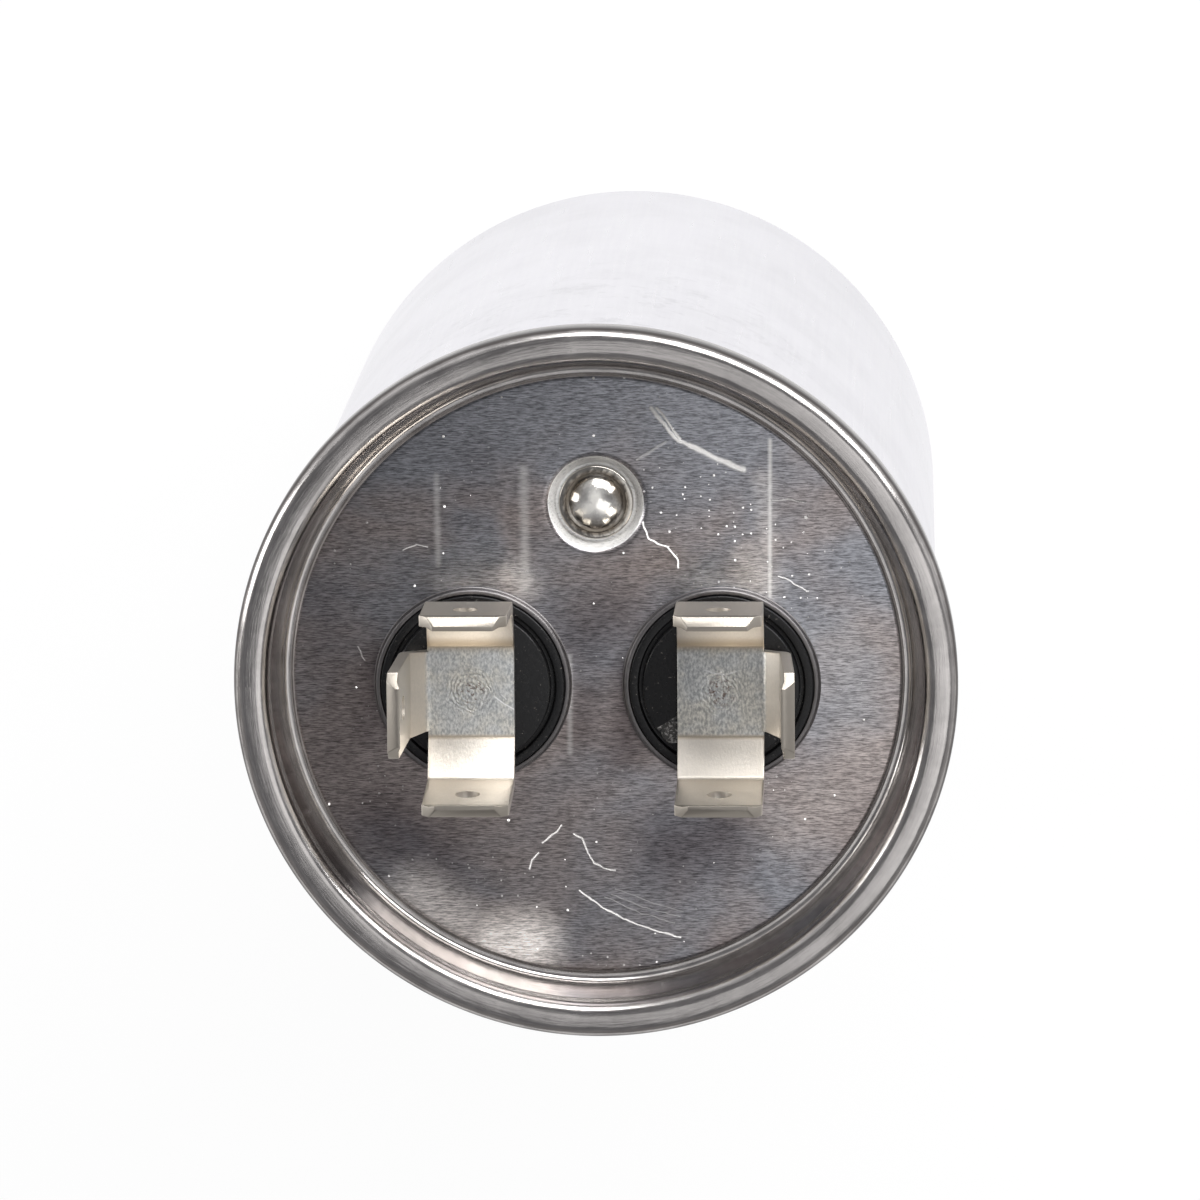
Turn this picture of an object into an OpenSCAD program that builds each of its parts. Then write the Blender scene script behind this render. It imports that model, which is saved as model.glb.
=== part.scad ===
// Round motor run capacitor: a drawn can closed by a double-seamed lid with two
// three-way push-on terminals, and the film winding and its fittings inside.
// Millimetres. The base of the can stands at z = 0 on the origin, the terminals point up,
// X runs through both terminals and the filler plug lies towards +Y.

/* [Can] */
// Outside diameter of the can wall
can_d = 50; // [44:0.5:58]
// Height from the base to the top of the seam
total_h = 82; // [70:1:120]
// Sheet thickness of the can
can_t = 0.5; // [0.4:0.05:0.7]
// Outside radius between the wall and the base
base_corner_r = 1.8; // [1.2:0.1:3]

/* [Lid] */
// Sheet thickness of the lid
lid_t = 0.45; // [0.35:0.05:0.6]
// Depth of the lid panel below the top of the seam
panel_drop = 4; // [3.4:0.1:5]
// How much lower the ring groove lies than the panel
groove_depth = 0.25; // [0.15:0.05:0.4]
// Width of the floor of the ring groove
groove_w = 0.75; // [0.6:0.05:1.2]
// How far the sloped wall leans in
slope_run = 0.85; // [0.5:0.05:1.2]
// Height of the upright wall above the slope
upright_h = 1.5; // [1.3:0.1:2]

/* [Seam] */
// Height of the rolled seam
seam_h = 3.2; // [2.8:0.1:3.8]
// Clearance between the folded layers
seam_gap = 0.05; // [0.02:0.01:0.08]
// Rounding of the top of the seam
crest_r = 0.9; // [0.75:0.05:1.05]
// Rounding of the lower edge of the seam
hem_r = 0.7; // [0.62:0.02:0.72]
// Overlap of the two hooks inside the seam
hook_overlap = 0.9; // [0.6:0.1:1.1]
// How far the can wall is drawn in where it enters the seam
neck_in = 0.05; // [0.02:0.01:0.15]
// Length of the taper down to that neck
neck_taper = 0.6; // [0.55:0.05:0.7]

/* [Layout on the lid] */
// Distance between the two terminals
terminal_pitch = 18.3; // [17.9:0.1:20]
// Distance of the terminals from the middle, towards +Y
terminal_y = -0.6; // [-2:0.1:1]
// Distance of the filler plug from the middle, towards +Y
filler_y = 12.9; // [11.5:0.1:15]

/* [Terminals] */
// Width of a push-on blade
blade_w = 6.35; // [6.3:0.05:6.5]
// Thickness of the terminal strip
blade_t = 0.8; // [0.7:0.05:0.9]
// Length of a blade above its bend
blade_l = 7.75; // [6.5:0.25:9]
// Length of the flat middle plate
plate_l = 6.7; // [6.4:0.1:7.5]
// Reach of the sloped arms at both ends
end_run = 2.9; // [2.2:0.1:4]
// Reach of the sloped arm at the outer side
side_run = 1.2; // [1:0.1:2]
// Rise of the sloped arms
arm_rise = 1.5; // [0.8:0.1:2]
// Outward lean of the two end blades
end_lean = 2.8; // [0:0.1:6]
// Outward lean of the side blade
side_lean = 3; // [0:0.1:8]
// Inside radius of the bends
bend_r = 0.5; // [0.3:0.05:0.7]
// Corner cut at the tip of a blade
tip_cut = 1; // [0.6:0.1:1.4]
// Depth of the bevel on each face of the tip
tip_bevel = 0.22; // [0.1:0.02:0.28]
// Diameter of the detent hole in a blade
detent_d = 1.8; // [1.4:0.1:2.2]
// Distance of the detent hole from the tip
detent_from_tip = 3.7; // [3:0.1:4.2]

/* [Insulators] */
// Diameter of the insulator where it shows
insulator_d = 13.5; // [13:0.1:14.5]
// Diameter of the raised disc on the insulator
insulator_disc_d = 11.5; // [10:0.1:11.8]
// Width of the groove around the raised disc
moat_w = 0.35; // [0.25:0.05:0.5]
// Depth of the groove around the raised disc
moat_depth = 0.4; // [0.2:0.05:0.6]
// Height of the outer ring above the lid panel
ring_rise = 0.75; // [0.6:0.05:1]
// Height of the raised disc above the outer ring
disc_rise = 0.6; // [0.3:0.05:0.9]
// Diameter of the flange under the lid
flange_d = 16.8; // [16.2:0.1:17.4]
// Thickness of the flange under the lid
flange_t = 1.4; // [1:0.1:2]
// Thickness of the rubber gasket
gasket_t = 0.8; // [0.5:0.1:1.2]
// Height of the lid's collar around the insulator
collar_h = 0.55; // [0.45:0.05:0.7]
// Wall of the lid's collar, thinned by drawing
collar_t = 0.3; // [0.2:0.05:0.4]
// How far the collar's edge is rolled in over the insulator
collar_lip = 0.1; // [0.05:0.05:0.2]
// General clearance between the pieces of a terminal
fit_gap = 0.05; // [0.02:0.01:0.1]

/* [Studs] */
// Shank diameter of the terminal stud
stud_d = 3; // [2.5:0.1:3.6]
// Diameter of the stud's upper head
stud_head_d = 5.2; // [4.4:0.1:5.8]
// Thickness of the stud's upper head
stud_head_t = 0.45; // [0.3:0.05:0.8]
// Diameter of the stud's closed lower end
stud_foot_d = 4.4; // [4:0.1:5]
// Thickness of the stud's closed lower end
stud_foot_t = 0.8; // [0.5:0.1:1]
// Diameter of the washer above the closed end
stud_washer_d = 7; // [6:0.1:8]
// Thickness of the washer above the closed end
stud_washer_t = 0.5; // [0.4:0.1:0.8]

/* [Filler plug] */
// Diameter of the dished seat in the lid
dish_d = 7.1; // [6.6:0.1:8]
// Depth of the dished seat
dish_depth = 0.9; // [0.7:0.05:1.2]
// Diameter of the flat floor of the seat
dish_floor_d = 6; // [5.9:0.1:6.2]
// Diameter of the plug's flange
plug_d = 5.5; // [5.2:0.1:5.7]
// Thickness of the plug's flange
plug_flange_t = 0.45; // [0.3:0.05:0.6]
// Diameter of the plug's dome
plug_dome_d = 4.5; // [4:0.1:4.7]
// Height of the dome above the flange
plug_dome_h = 1.1; // [0.8:0.1:1.6]
// Diameter of the plug's stem
plug_stem_d = 2.6; // [2:0.1:3]
// Diameter of the spread end under the lid
plug_foot_d = 3.8; // [3.4:0.1:4.4]
// Length of the spread end under the lid
plug_foot_l = 1.2; // [0.8:0.1:2]

/* [Winding] */
// Outside diameter of the core tube
core_d = 10; // [9:0.5:14]
// Wall of the core tube
core_t = 1.5; // [1:0.1:2]
// Thickness of the sprayed metal on the winding's ends
spray_t = 0.6; // [0.4:0.1:1]
// Thickness of the wrap around the winding
wrap_t = 0.3; // [0.2:0.05:0.5]
// Clearance between the winding, its wrap and its tube
roll_gap = 0.05; // [0.02:0.01:0.1]

/* [Plastic fittings] */
// Floor of the bottom cup
cup_floor_t = 1.6; // [1.4:0.1:2.5]
// Wall of the bottom cup
cup_wall_t = 0.8; // [0.6:0.1:1]
// Height of the bottom cup
cup_h = 14; // [8:0.5:24]
// Clearance between the fittings and the can
fitting_gap = 0.2; // [0.1:0.05:0.4]
// Thickness of the interrupter disc
disc_t = 1.5; // [1.2:0.1:2]
// Free height between the studs and the interrupter disc
disc_clearance = 1; // [0.6:0.1:1.4]
// Height of the spacer ring on top of the winding
spacer_h = 2.9; // [2:0.1:8]
// Wall of the spacer ring on top of the winding
spacer_wall = 1.6; // [1.2:0.1:2.4]
// Diameter of the three posts on the interrupter disc
post_d = 3.6; // [3:0.1:4]
// Distance of the three posts from the middle
post_reach = 19.5; // [18.8:0.1:20]

/* [Leads] */
// Thickness of the lead strips
lead_t = 0.4; // [0.3:0.05:0.5]
// Width of the lead strips
lead_w = 4.4; // [4.2:0.1:5]
// Distance from a stud to the left lead's bend
lead_bend_reach = 6; // [5:0.5:7]
// Length of the leads' soldered feet
lead_foot_l = 4; // [3:0.5:5]
// Diameter of the wire through the core
wire_d = 1.2; // [1:0.1:1.6]
// Wall of the sleeve on that wire
sleeve_t = 0.45; // [0.3:0.05:0.6]
// Clearance around the leads where they pass a piece
lead_gap = 0.4; // [0.3:0.05:0.6]

/* [Hidden] */

$fn = 96;
bend_steps = 6;
cut = 0.2;

LEFT = -1;
RIGHT = 1;

METAL = "silver";
DARK_METAL = "slategray";
TINNED = "lightgray";
BLACK = [0.12, 0.12, 0.13];

can_r = can_d / 2;
can_bore_r = can_r - can_t;

// Radii of the folded layers of the seam, from the inside out
neck_r = can_r - neck_in;
upright_r = neck_r - can_t - seam_gap - lid_t;
cover_hook_r = neck_r + seam_gap;
body_hook_r = cover_hook_r + lid_t + seam_gap;
seam_r = body_hook_r + can_t + seam_gap + lid_t;
curl_r = (body_hook_r - neck_r) / 2 - seam_gap / 5;
curl_top_z = total_h - lid_t - seam_gap;
seam_bottom_z = total_h - seam_h;
body_hook_end_z = seam_bottom_z + hem_r;
cover_hook_end_z = body_hook_end_z + hook_overlap;
compound_top_z = curl_top_z - can_t - curl_r;

// Levels of the lid
panel_z = total_h - panel_drop;
lid_under_z = panel_z - lid_t;
upright_end_z = total_h - upright_h - crest_r / 2;
groove_z = panel_z - groove_depth;
groove_outer_r = upright_r - slope_run;
groove_inner_r = groove_outer_r - groove_w;

// Levels of a terminal, from the top down
insulator_r = insulator_d / 2;
insulator_disc_r = insulator_disc_d / 2;
ring_z = panel_z + ring_rise;
insulator_top_z = ring_z + disc_rise;
plate_z = insulator_top_z + stud_head_t;
gasket_bottom_z = lid_under_z - gasket_t;
insulator_bottom_z = gasket_bottom_z - flange_t;
lead_under_z = insulator_bottom_z - lead_t;
washer_under_z = lead_under_z - stud_washer_t;
stud_foot_z = washer_under_z - stud_foot_t;

// The lid's collar around an insulator
collar_bore_r = insulator_r + fit_gap + collar_lip;
collar_r = collar_bore_r + collar_t;
collar_root_r = collar_r + collar_t;
shoulder_r = collar_bore_r - fit_gap;
collar_z = panel_z + collar_h;
collar_lip_z = collar_z - collar_t;

// The winding and its fittings, from the bottom up
fitting_r = can_bore_r - fitting_gap;
wrap_r = fitting_r - cup_wall_t - roll_gap;
winding_r = wrap_r - wrap_t - roll_gap;
core_r = core_d / 2;
winding_bore_r = core_r + roll_gap;
cup_floor_z = can_t + cup_floor_t;
cup_top_z = can_t + cup_h;
cup_bore_r = wrap_r + roll_gap;
foot_end_x = core_r + lead_foot_l;
winding_z = cup_floor_z + spray_t;
disc_z = stud_foot_z - disc_clearance - disc_t;
spray_top_z = disc_z - spacer_h;
winding_top_z = spray_top_z - spray_t;
winding_h = winding_top_z - winding_z;
wire_r = wire_d / 2;
sleeve_bore_r = wire_r + roll_gap;
sleeve_r = sleeve_bore_r + sleeve_t;

function unit(v) = v / norm(v);
function left_of(v) = [-v[1], v[0]];
function turn(a, b) = a[0] * b[1] - a[1] * b[0];

// Points of an arc of radius r that rounds the corner at q on the way from p to s
function corner_arc(p, q, s, r) =
    let (
        back = unit(p - q),
        ahead = unit(s - q),
        half = acos(back * ahead) / 2,
        centre = q + unit(back + ahead) * r / sin(half),
        start = q + back * r / tan(half) - centre,
        sweep = (180 - 2 * half) * sign(turn(q - p, s - q))
    )
    [for (i = [0:bend_steps])
        let (a = sweep * i / bend_steps)
        centre + [start[0] * cos(a) - start[1] * sin(a), start[0] * sin(a) + start[1] * cos(a)]];

// A path of [x, y, corner radius] points with its corners rounded
function rounded(path) = [
    for (i = [0:len(path) - 1])
        let (here = [path[i][0], path[i][1]], r = path[i][2])
        each r == 0 ? [here] : corner_arc(
            [path[i - 1][0], path[i - 1][1]], here, [path[i + 1][0], path[i + 1][1]], r)
];

// The sideways step from point i of a path to the same point of the sheet's other face
function sheet_step(path, i) =
    let (
        last = len(path) - 1,
        before = left_of(unit(path[max(i, 1)] - path[max(i, 1) - 1])),
        after = left_of(unit(path[min(i, last - 1) + 1] - path[min(i, last - 1)])),
        middle = unit(before + after)
    )
    middle / (middle * after);

// Outline of a folded sheet: its path is one face, and t is its thickness to the left of the path
function folded_sheet(path, t) =
    let (face = rounded(path), last = len(face) - 1)
    concat(face, [for (i = [last:-1:0]) face[i] + t * sheet_step(face, i)]);

module at_terminal(side) {
    translate([side * terminal_pitch / 2, terminal_y, 0]) children();
}

module tube(r_out, r_in, z, h) {
    translate([0, 0, z])
        rotate_extrude()
            translate([r_in, 0]) square([r_out - r_in, h]);
}

module can() {
    color(METAL)
        rotate_extrude()
            polygon(folded_sheet([
                [0, 0, 0],
                [can_r, 0, base_corner_r],
                [can_r, seam_bottom_z, 0],
                [neck_r, seam_bottom_z + neck_taper, 0],
                [neck_r, curl_top_z - can_t, curl_r],
                [body_hook_r, curl_top_z - can_t, curl_r],
                [body_hook_r, body_hook_end_z, 0],
            ], can_t));
}

module lid_shell() {
    rotate_extrude()
        polygon(folded_sheet([
            [0, panel_z, 0],
            [groove_inner_r, panel_z, lid_t * 1.1],
            [groove_inner_r + groove_depth, groove_z, groove_depth / 2],
            [groove_outer_r, groove_z, lid_t],
            [upright_r, upright_end_z, lid_t],
            [upright_r, total_h, crest_r],
            [seam_r, total_h, crest_r],
            [seam_r, seam_bottom_z, hem_r],
            [cover_hook_r, seam_bottom_z, hem_r],
            [cover_hook_r, cover_hook_end_z, 0],
        ], -lid_t));
}

// The drawn collar that is rolled in over the insulator's shoulder
module lid_collar() {
    rotate_extrude()
        polygon(concat(
            [
                [collar_bore_r, lid_under_z],
                [collar_root_r + collar_t, lid_under_z],
                [collar_root_r + collar_t, panel_z],
            ],
            corner_arc([collar_root_r + collar_t, panel_z], [collar_r, panel_z],
                [collar_r, collar_z], collar_t / 2),
            corner_arc([collar_r, panel_z], [collar_r, collar_z], [0, collar_z], collar_t * 0.8),
            [
                [collar_bore_r - collar_lip, collar_z],
                [collar_bore_r - collar_lip, collar_lip_z],
                [collar_bore_r, collar_lip_z],
            ]));
}

// The dished seat of the filler plug
module filler_dish() {
    rotate_extrude()
        polygon(folded_sheet([
            [plug_stem_d / 2 + fit_gap, panel_z - dish_depth, 0],
            [dish_floor_d / 2, panel_z - dish_depth, lid_t / 2],
            [dish_d / 2, panel_z, lid_t * 1.5],
            [dish_d / 2 + dish_depth, panel_z, 0],
        ], -lid_t));
}

module lid() {
    color(DARK_METAL) {
        difference() {
            lid_shell();
            for (side = [LEFT, RIGHT])
                at_terminal(side)
                    translate([0, 0, lid_under_z - cut])
                        cylinder(r = collar_root_r, h = lid_t + 2 * cut);
            translate([0, filler_y, lid_under_z - cut])
                cylinder(r = dish_d / 2 + dish_depth / 2, h = lid_t + 2 * cut);
        }
        for (side = [LEFT, RIGHT])
            at_terminal(side) lid_collar();
        translate([0, filler_y, 0]) filler_dish();
    }
}

module seam_compound() {
    color("seagreen")
        tube(body_hook_r - seam_gap, cover_hook_r, cover_hook_end_z + seam_gap / 2,
            compound_top_z - cover_hook_end_z - seam_gap / 2);
}

// Places its children in the frame of a blade: z along the blade, y through its thickness outwards
module at_blade(reach, run, lean) {
    translate([0, reach + run, arm_rise]) rotate([-lean, 0, 0]) children();
}

// A sloped arm with its upright blade, from the middle of the plate towards +Y
module arm_blank(reach, run, lean) {
    translate([-blade_w / 2, 0, 0])
        rotate([90, 0, 90])
            linear_extrude(height = blade_w)
                polygon(folded_sheet([
                    [0, 0, 0],
                    [reach, 0, bend_r],
                    [reach + run, arm_rise, bend_r],
                    [reach + run + blade_l * sin(lean), arm_rise + blade_l * cos(lean), 0],
                ], -blade_t));
}

// What is cut off a blade: the corners and bevels of its tip, and the detent hole
module blade_cuts() {
    for (side = [LEFT, RIGHT])
        translate([side * blade_w / 2, blade_t / 2, blade_l])
            rotate([0, 45, 0])
                cube([tip_cut * sqrt(2), blade_t + 2 * cut, tip_cut * sqrt(2)], center = true);
    bevel_angle = 25;
    for (face = [0, 1])
        translate([0, face * blade_t, blade_l])
            mirror([0, face, 0])
                translate([0, tip_bevel, 0])
                    rotate([-bevel_angle, 0, 0])
                        translate([-blade_w, -blade_t, -blade_l / 2])
                            cube([2 * blade_w, blade_t, blade_l]);
    translate([0, -cut, blade_l - detent_from_tip])
        rotate([-90, 0, 0])
            cylinder(d = detent_d, h = blade_t + 2 * cut);
}

module arm(reach, run, lean) {
    difference() {
        arm_blank(reach, run, lean);
        at_blade(reach, run, lean) blade_cuts();
    }
}

// One strip with two end blades and one blade at the outer side
module terminal(side) {
    color(TINNED)
        at_terminal(side)
            translate([0, 0, plate_z + blade_t]) {
                arm(plate_l / 2, end_run, end_lean);
                rotate([0, 0, 180]) arm(plate_l / 2, end_run, end_lean);
                rotate([0, 0, -90 * side]) arm(blade_w / 2, side_run, side_lean);
            }
}

module stud(side) {
    color(TINNED)
        at_terminal(side) {
            translate([0, 0, insulator_top_z]) cylinder(d = stud_head_d, h = stud_head_t);
            translate([0, 0, stud_foot_z]) {
                cylinder(d = stud_d, h = insulator_top_z + stud_head_t / 2 - stud_foot_z);
                cylinder(d = stud_foot_d, h = stud_foot_t);
            }
        }
}

module insulator(side) {
    neck_r = collar_bore_r - collar_lip - fit_gap;
    moat_r = insulator_disc_r + moat_w;
    flange_r = flange_d / 2;
    bore_r = stud_d / 2 + fit_gap;
    color(BLACK)
        at_terminal(side)
            rotate_extrude()
                polygon([
                    [bore_r, insulator_bottom_z],
                    [flange_r, insulator_bottom_z],
                    [flange_r, gasket_bottom_z],
                    [shoulder_r, gasket_bottom_z],
                    [shoulder_r, collar_lip_z - fit_gap],
                    [neck_r, collar_lip_z - fit_gap],
                    [neck_r, ring_z - fit_gap],
                    [neck_r - fit_gap, ring_z],
                    [moat_r, ring_z],
                    [moat_r, ring_z - moat_depth],
                    [insulator_disc_r, ring_z - moat_depth],
                    [insulator_disc_r, insulator_top_z - fit_gap],
                    [insulator_disc_r - fit_gap, insulator_top_z],
                    [bore_r, insulator_top_z],
                ]);
}

module gasket(side) {
    color("dimgray")
        at_terminal(side)
            tube(flange_d / 2, shoulder_r + fit_gap, gasket_bottom_z, gasket_t);
}

module stud_washer(side) {
    color(METAL)
        at_terminal(side)
            tube(stud_washer_d / 2, stud_d / 2 + fit_gap, washer_under_z, stud_washer_t);
}

module filler_plug() {
    seat_z = panel_z - dish_depth;
    dome_r = plug_dome_d / 2;
    sphere_r = (dome_r * dome_r + plug_dome_h * plug_dome_h) / (2 * plug_dome_h);
    flange_top_z = seat_z + plug_flange_t;
    foot_top_z = seat_z - lid_t;
    color(TINNED)
        translate([0, filler_y, 0]) {
            translate([0, 0, seat_z]) cylinder(d = plug_d, h = plug_flange_t);
            intersection() {
                translate([0, 0, flange_top_z + plug_dome_h - sphere_r]) sphere(r = sphere_r);
                translate([0, 0, seat_z]) cylinder(r = dome_r, h = plug_flange_t + plug_dome_h);
            }
            translate([0, 0, foot_top_z - plug_foot_l])
                cylinder(d = plug_stem_d, h = lid_t + plug_foot_l + plug_flange_t / 2);
            translate([0, 0, foot_top_z - plug_foot_l])
                cylinder(d1 = plug_stem_d, d2 = plug_foot_d, h = plug_foot_l);
        }
}

// The opening that the left lead passes through
module lead_slot() {
    slot_l = lead_t + 2 * lead_gap;
    slot_w = lead_w + 2 * lead_gap;
    translate([-terminal_pitch / 2 - lead_bend_reach - lead_gap, terminal_y - slot_w / 2, -cut])
        cube([slot_l, slot_w, disc_t + 2 * cut]);
}

// A stiff disc on posts: when the lid bulges it holds the leads back, so they part from the studs
module interrupter_disc() {
    oil_hole_d = post_d;
    color("ivory")
        translate([0, 0, disc_z]) {
            difference() {
                cylinder(r = fitting_r, h = disc_t);
                lead_slot();
                translate([0, terminal_y, -cut])
                    cylinder(r = sleeve_r + lead_gap, h = disc_t + 2 * cut);
                for (a = [-30:120:210])
                    rotate([0, 0, a])
                        translate([post_reach, 0, -cut])
                            cylinder(d = oil_hole_d, h = disc_t + 2 * cut);
            }
            for (a = [-90:120:150])
                rotate([0, 0, a])
                    translate([post_reach, 0, disc_t / 2])
                        cylinder(d = post_d, h = lid_under_z - disc_z - disc_t / 2);
        }
}

module top_spacer() {
    color("ivory")
        tube(wrap_r, wrap_r - spacer_wall, spray_top_z, spacer_h);
}

// A cup that keeps the winding off the can, with a slot in its floor for the lead's foot
module bottom_cup() {
    foot_slot_w = lead_w + 2 * lead_gap;
    color("ivory")
        difference() {
            rotate_extrude()
                polygon(concat(
                    [[0, can_t]],
                    corner_arc([0, can_t], [fitting_r, can_t], [fitting_r, cup_top_z], base_corner_r),
                    [
                        [fitting_r, cup_top_z],
                        [cup_bore_r, cup_top_z],
                        [cup_bore_r, cup_floor_z],
                        [0, cup_floor_z],
                    ]));
            translate([-wire_d - lead_gap, terminal_y - foot_slot_w / 2, cup_floor_z - lead_t - lead_gap])
                cube([foot_end_x + wire_d + 2 * lead_gap, foot_slot_w, cup_floor_t]);
        }
}

module film_winding() {
    color("wheat") tube(winding_r, winding_bore_r, winding_z, winding_h);
}

module core_tube() {
    color("white")
        tube(core_r, core_r - core_t, cup_floor_z, spray_top_z - cup_floor_z);
}

module winding_wrap() {
    color("khaki")
        tube(wrap_r, wrap_r - wrap_t, cup_floor_z, spray_top_z - cup_floor_z);
}

module end_spray(z) {
    color("darkgray") tube(winding_r, winding_bore_r, z, spray_t);
}

// The eye that is clamped under an insulator, with the hole for the stud
module lead_eye() {
    difference() {
        union() {
            cylinder(d = lead_w, h = lead_t);
            children();
        }
        translate([0, 0, -cut]) cylinder(d = stud_d + 2 * fit_gap, h = lead_t + 2 * cut);
    }
}

// A strip from the left stud, through the interrupter disc, to the top of the winding
module lead_left() {
    foot_z = spray_top_z - lead_under_z;
    color(TINNED)
        at_terminal(LEFT)
            translate([0, 0, lead_under_z])
                lead_eye()
                    translate([0, lead_w / 2, 0])
                        rotate([90, 0, 0])
                            linear_extrude(height = lead_w)
                                polygon(folded_sheet([
                                    [0, lead_t, 0],
                                    [-lead_bend_reach, lead_t, 2 * lead_t],
                                    [-lead_bend_reach, foot_z, 1.5 * lead_t],
                                    [-lead_bend_reach + lead_foot_l, foot_z, 0],
                                ], lead_t));
}

// A strip from the right stud to the middle, a wire down the core and a foot under the winding
module lead_right() {
    foot_z = cup_floor_z - lead_t;
    color(TINNED) {
        at_terminal(RIGHT)
            translate([0, 0, lead_under_z])
                lead_eye()
                    translate([-terminal_pitch / 2 - wire_d, -lead_w / 2, 0])
                        cube([terminal_pitch / 2 + wire_d, lead_w, lead_t]);
        translate([0, terminal_y, foot_z + lead_t / 2])
            cylinder(r = wire_r, h = lead_under_z + lead_t / 2 - foot_z - lead_t / 2);
        translate([-wire_d, terminal_y - lead_w / 2, foot_z])
            cube([wire_d + foot_end_x, lead_w, lead_t]);
    }
}

module lead_sleeve() {
    color("gold")
        translate([0, terminal_y, 0])
            tube(sleeve_r, sleeve_bore_r, cup_floor_z, lead_under_z - cup_floor_z - fit_gap);
}

can();
lid();
seam_compound();
terminal(LEFT);  // terminal_left
terminal(RIGHT);  // terminal_right
stud(LEFT);  // stud_left
stud(RIGHT);  // stud_right
insulator(LEFT);  // insulator_left
insulator(RIGHT);  // insulator_right
gasket(LEFT);  // gasket_left
gasket(RIGHT);  // gasket_right
stud_washer(LEFT);  // stud_washer_left
stud_washer(RIGHT);  // stud_washer_right
filler_plug();
interrupter_disc();
top_spacer();
bottom_cup();
film_winding();
core_tube();
winding_wrap();
end_spray(winding_top_z);  // top_end_spray
end_spray(cup_floor_z);  // bottom_end_spray
lead_left();
lead_right();
lead_sleeve();
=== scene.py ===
"""Round motor run capacitor: fine pieces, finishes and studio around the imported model."""

import logging
import math
from dataclasses import dataclass, field
from enum import Enum
from typing import Callable, Sequence

import bmesh
import bpy
from mathutils import Matrix, Vector


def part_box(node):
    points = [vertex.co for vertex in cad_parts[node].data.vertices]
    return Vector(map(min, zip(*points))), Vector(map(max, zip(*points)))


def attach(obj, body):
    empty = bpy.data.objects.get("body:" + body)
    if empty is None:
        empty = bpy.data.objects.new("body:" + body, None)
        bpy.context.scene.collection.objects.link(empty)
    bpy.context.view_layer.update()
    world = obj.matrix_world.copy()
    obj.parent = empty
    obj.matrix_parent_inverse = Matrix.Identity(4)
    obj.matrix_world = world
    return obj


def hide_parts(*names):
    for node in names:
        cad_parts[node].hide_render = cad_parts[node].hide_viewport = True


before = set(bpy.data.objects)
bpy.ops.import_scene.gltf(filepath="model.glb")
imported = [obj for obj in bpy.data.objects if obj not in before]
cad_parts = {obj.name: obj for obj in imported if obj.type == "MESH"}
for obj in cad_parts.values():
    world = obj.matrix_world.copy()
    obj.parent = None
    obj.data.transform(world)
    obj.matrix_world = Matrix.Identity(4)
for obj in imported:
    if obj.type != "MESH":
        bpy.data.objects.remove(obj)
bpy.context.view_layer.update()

logging.basicConfig(level=logging.INFO, format="%(message)s")
log = logging.getLogger("capacitor")

Point = tuple[float, float]
Vector3 = tuple[float, float, float]
Colour = tuple[float, float, float]
Socket = bpy.types.NodeSocket

# Metres in a millimetre, the distance in metres at which points merge, and the part's one body.
MM = 0.001
CLOSE = 1e-6
BODY = "root"

# Width of the plane that a turned outline starts from, how near a rim's height an edge lies, the
# angle under which faces are shaded smooth, and the steps round each turned piece.
SEED = 0.2
AT_HEIGHT = 0.01
SMOOTH_ANGLE = 32.0
HOLE_STEPS = 40
RIM_STEPS = 256
CAN_STEPS = 224
INSULATOR_STEPS = 144
SMALL_STEPS = 128
STUB_STEPS = 32
DOME_STEPS = 24

# Thickness of a terminal's strip in millimetres.
STRIP = 0.8

# Node types, the vector steps whose result is a measure, directions and masks, how far a thin
# line's soft edge reaches, how soft a speck's edge is, and the span that most fine lines use.
MATH_NODE = "ShaderNodeMath"
VECTOR_NODE = "ShaderNodeVectorMath"
MEASURES = ("LENGTH", "DISTANCE", "DOT_PRODUCT")
ONE = (1.0, 1.0, 1.0)
LEVEL = (1.0, 1.0, 0.0)
UP = (0.0, 0.0, 1.0)
SOFT_EDGE = 0.85
SPECK_EDGE = 0.3
LINE_SPAN = (0.3, 0.7)


class Side(Enum):
    """The two terminals, by the sign of their X."""

    LEFT = -1
    RIGHT = 1

    @property
    def word(self) -> str:
        """The side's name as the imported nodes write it."""
        return self.name.lower()


# ---------------------------------------------------------------- outlines


def corner_arc(before: Vector, corner: Vector, after: Vector, radius: float,
               steps: int) -> list[Vector]:
    """Rounds one corner of an outline.

    Args:
        before: The outline's point before the corner.
        corner: The sharp corner.
        after: The outline's point after the corner.
        radius: Radius of the rounding.
        steps: Number of straight pieces in the arc.

    Returns:
        The points of the arc, in the outline's direction.
    """
    back = (before - corner).normalized()
    ahead = (after - corner).normalized()
    half = math.acos(max(-1.0, min(1.0, back.dot(ahead)))) / 2
    centre = corner + (back + ahead).normalized() * (radius / math.sin(half))
    start = corner + back * (radius / math.tan(half)) - centre
    bend = (corner - before).cross(after - corner)
    sweep = math.copysign(math.pi - 2 * half, bend)
    return [centre + Matrix.Rotation(sweep * i / steps, 2) @ start for i in range(steps + 1)]


def rounded(path: Sequence[Sequence[float]], steps: int = 8) -> list[Vector]:
    """Rounds the corners of an outline.

    Args:
        path: (radius, height) or (radius, height, rounding) for each point, in millimetres.
        steps: Number of straight pieces in each rounding.

    Returns:
        The outline's points, in millimetres.
    """
    flat = [Vector(p[:2]) for p in path]
    points: list[Vector] = []
    for i, p in enumerate(path):
        if len(p) < 3 or p[2] == 0:
            points.append(flat[i])
        else:
            points += corner_arc(flat[i - 1], flat[i], flat[(i + 1) % len(flat)], p[2], steps)
    return points


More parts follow.
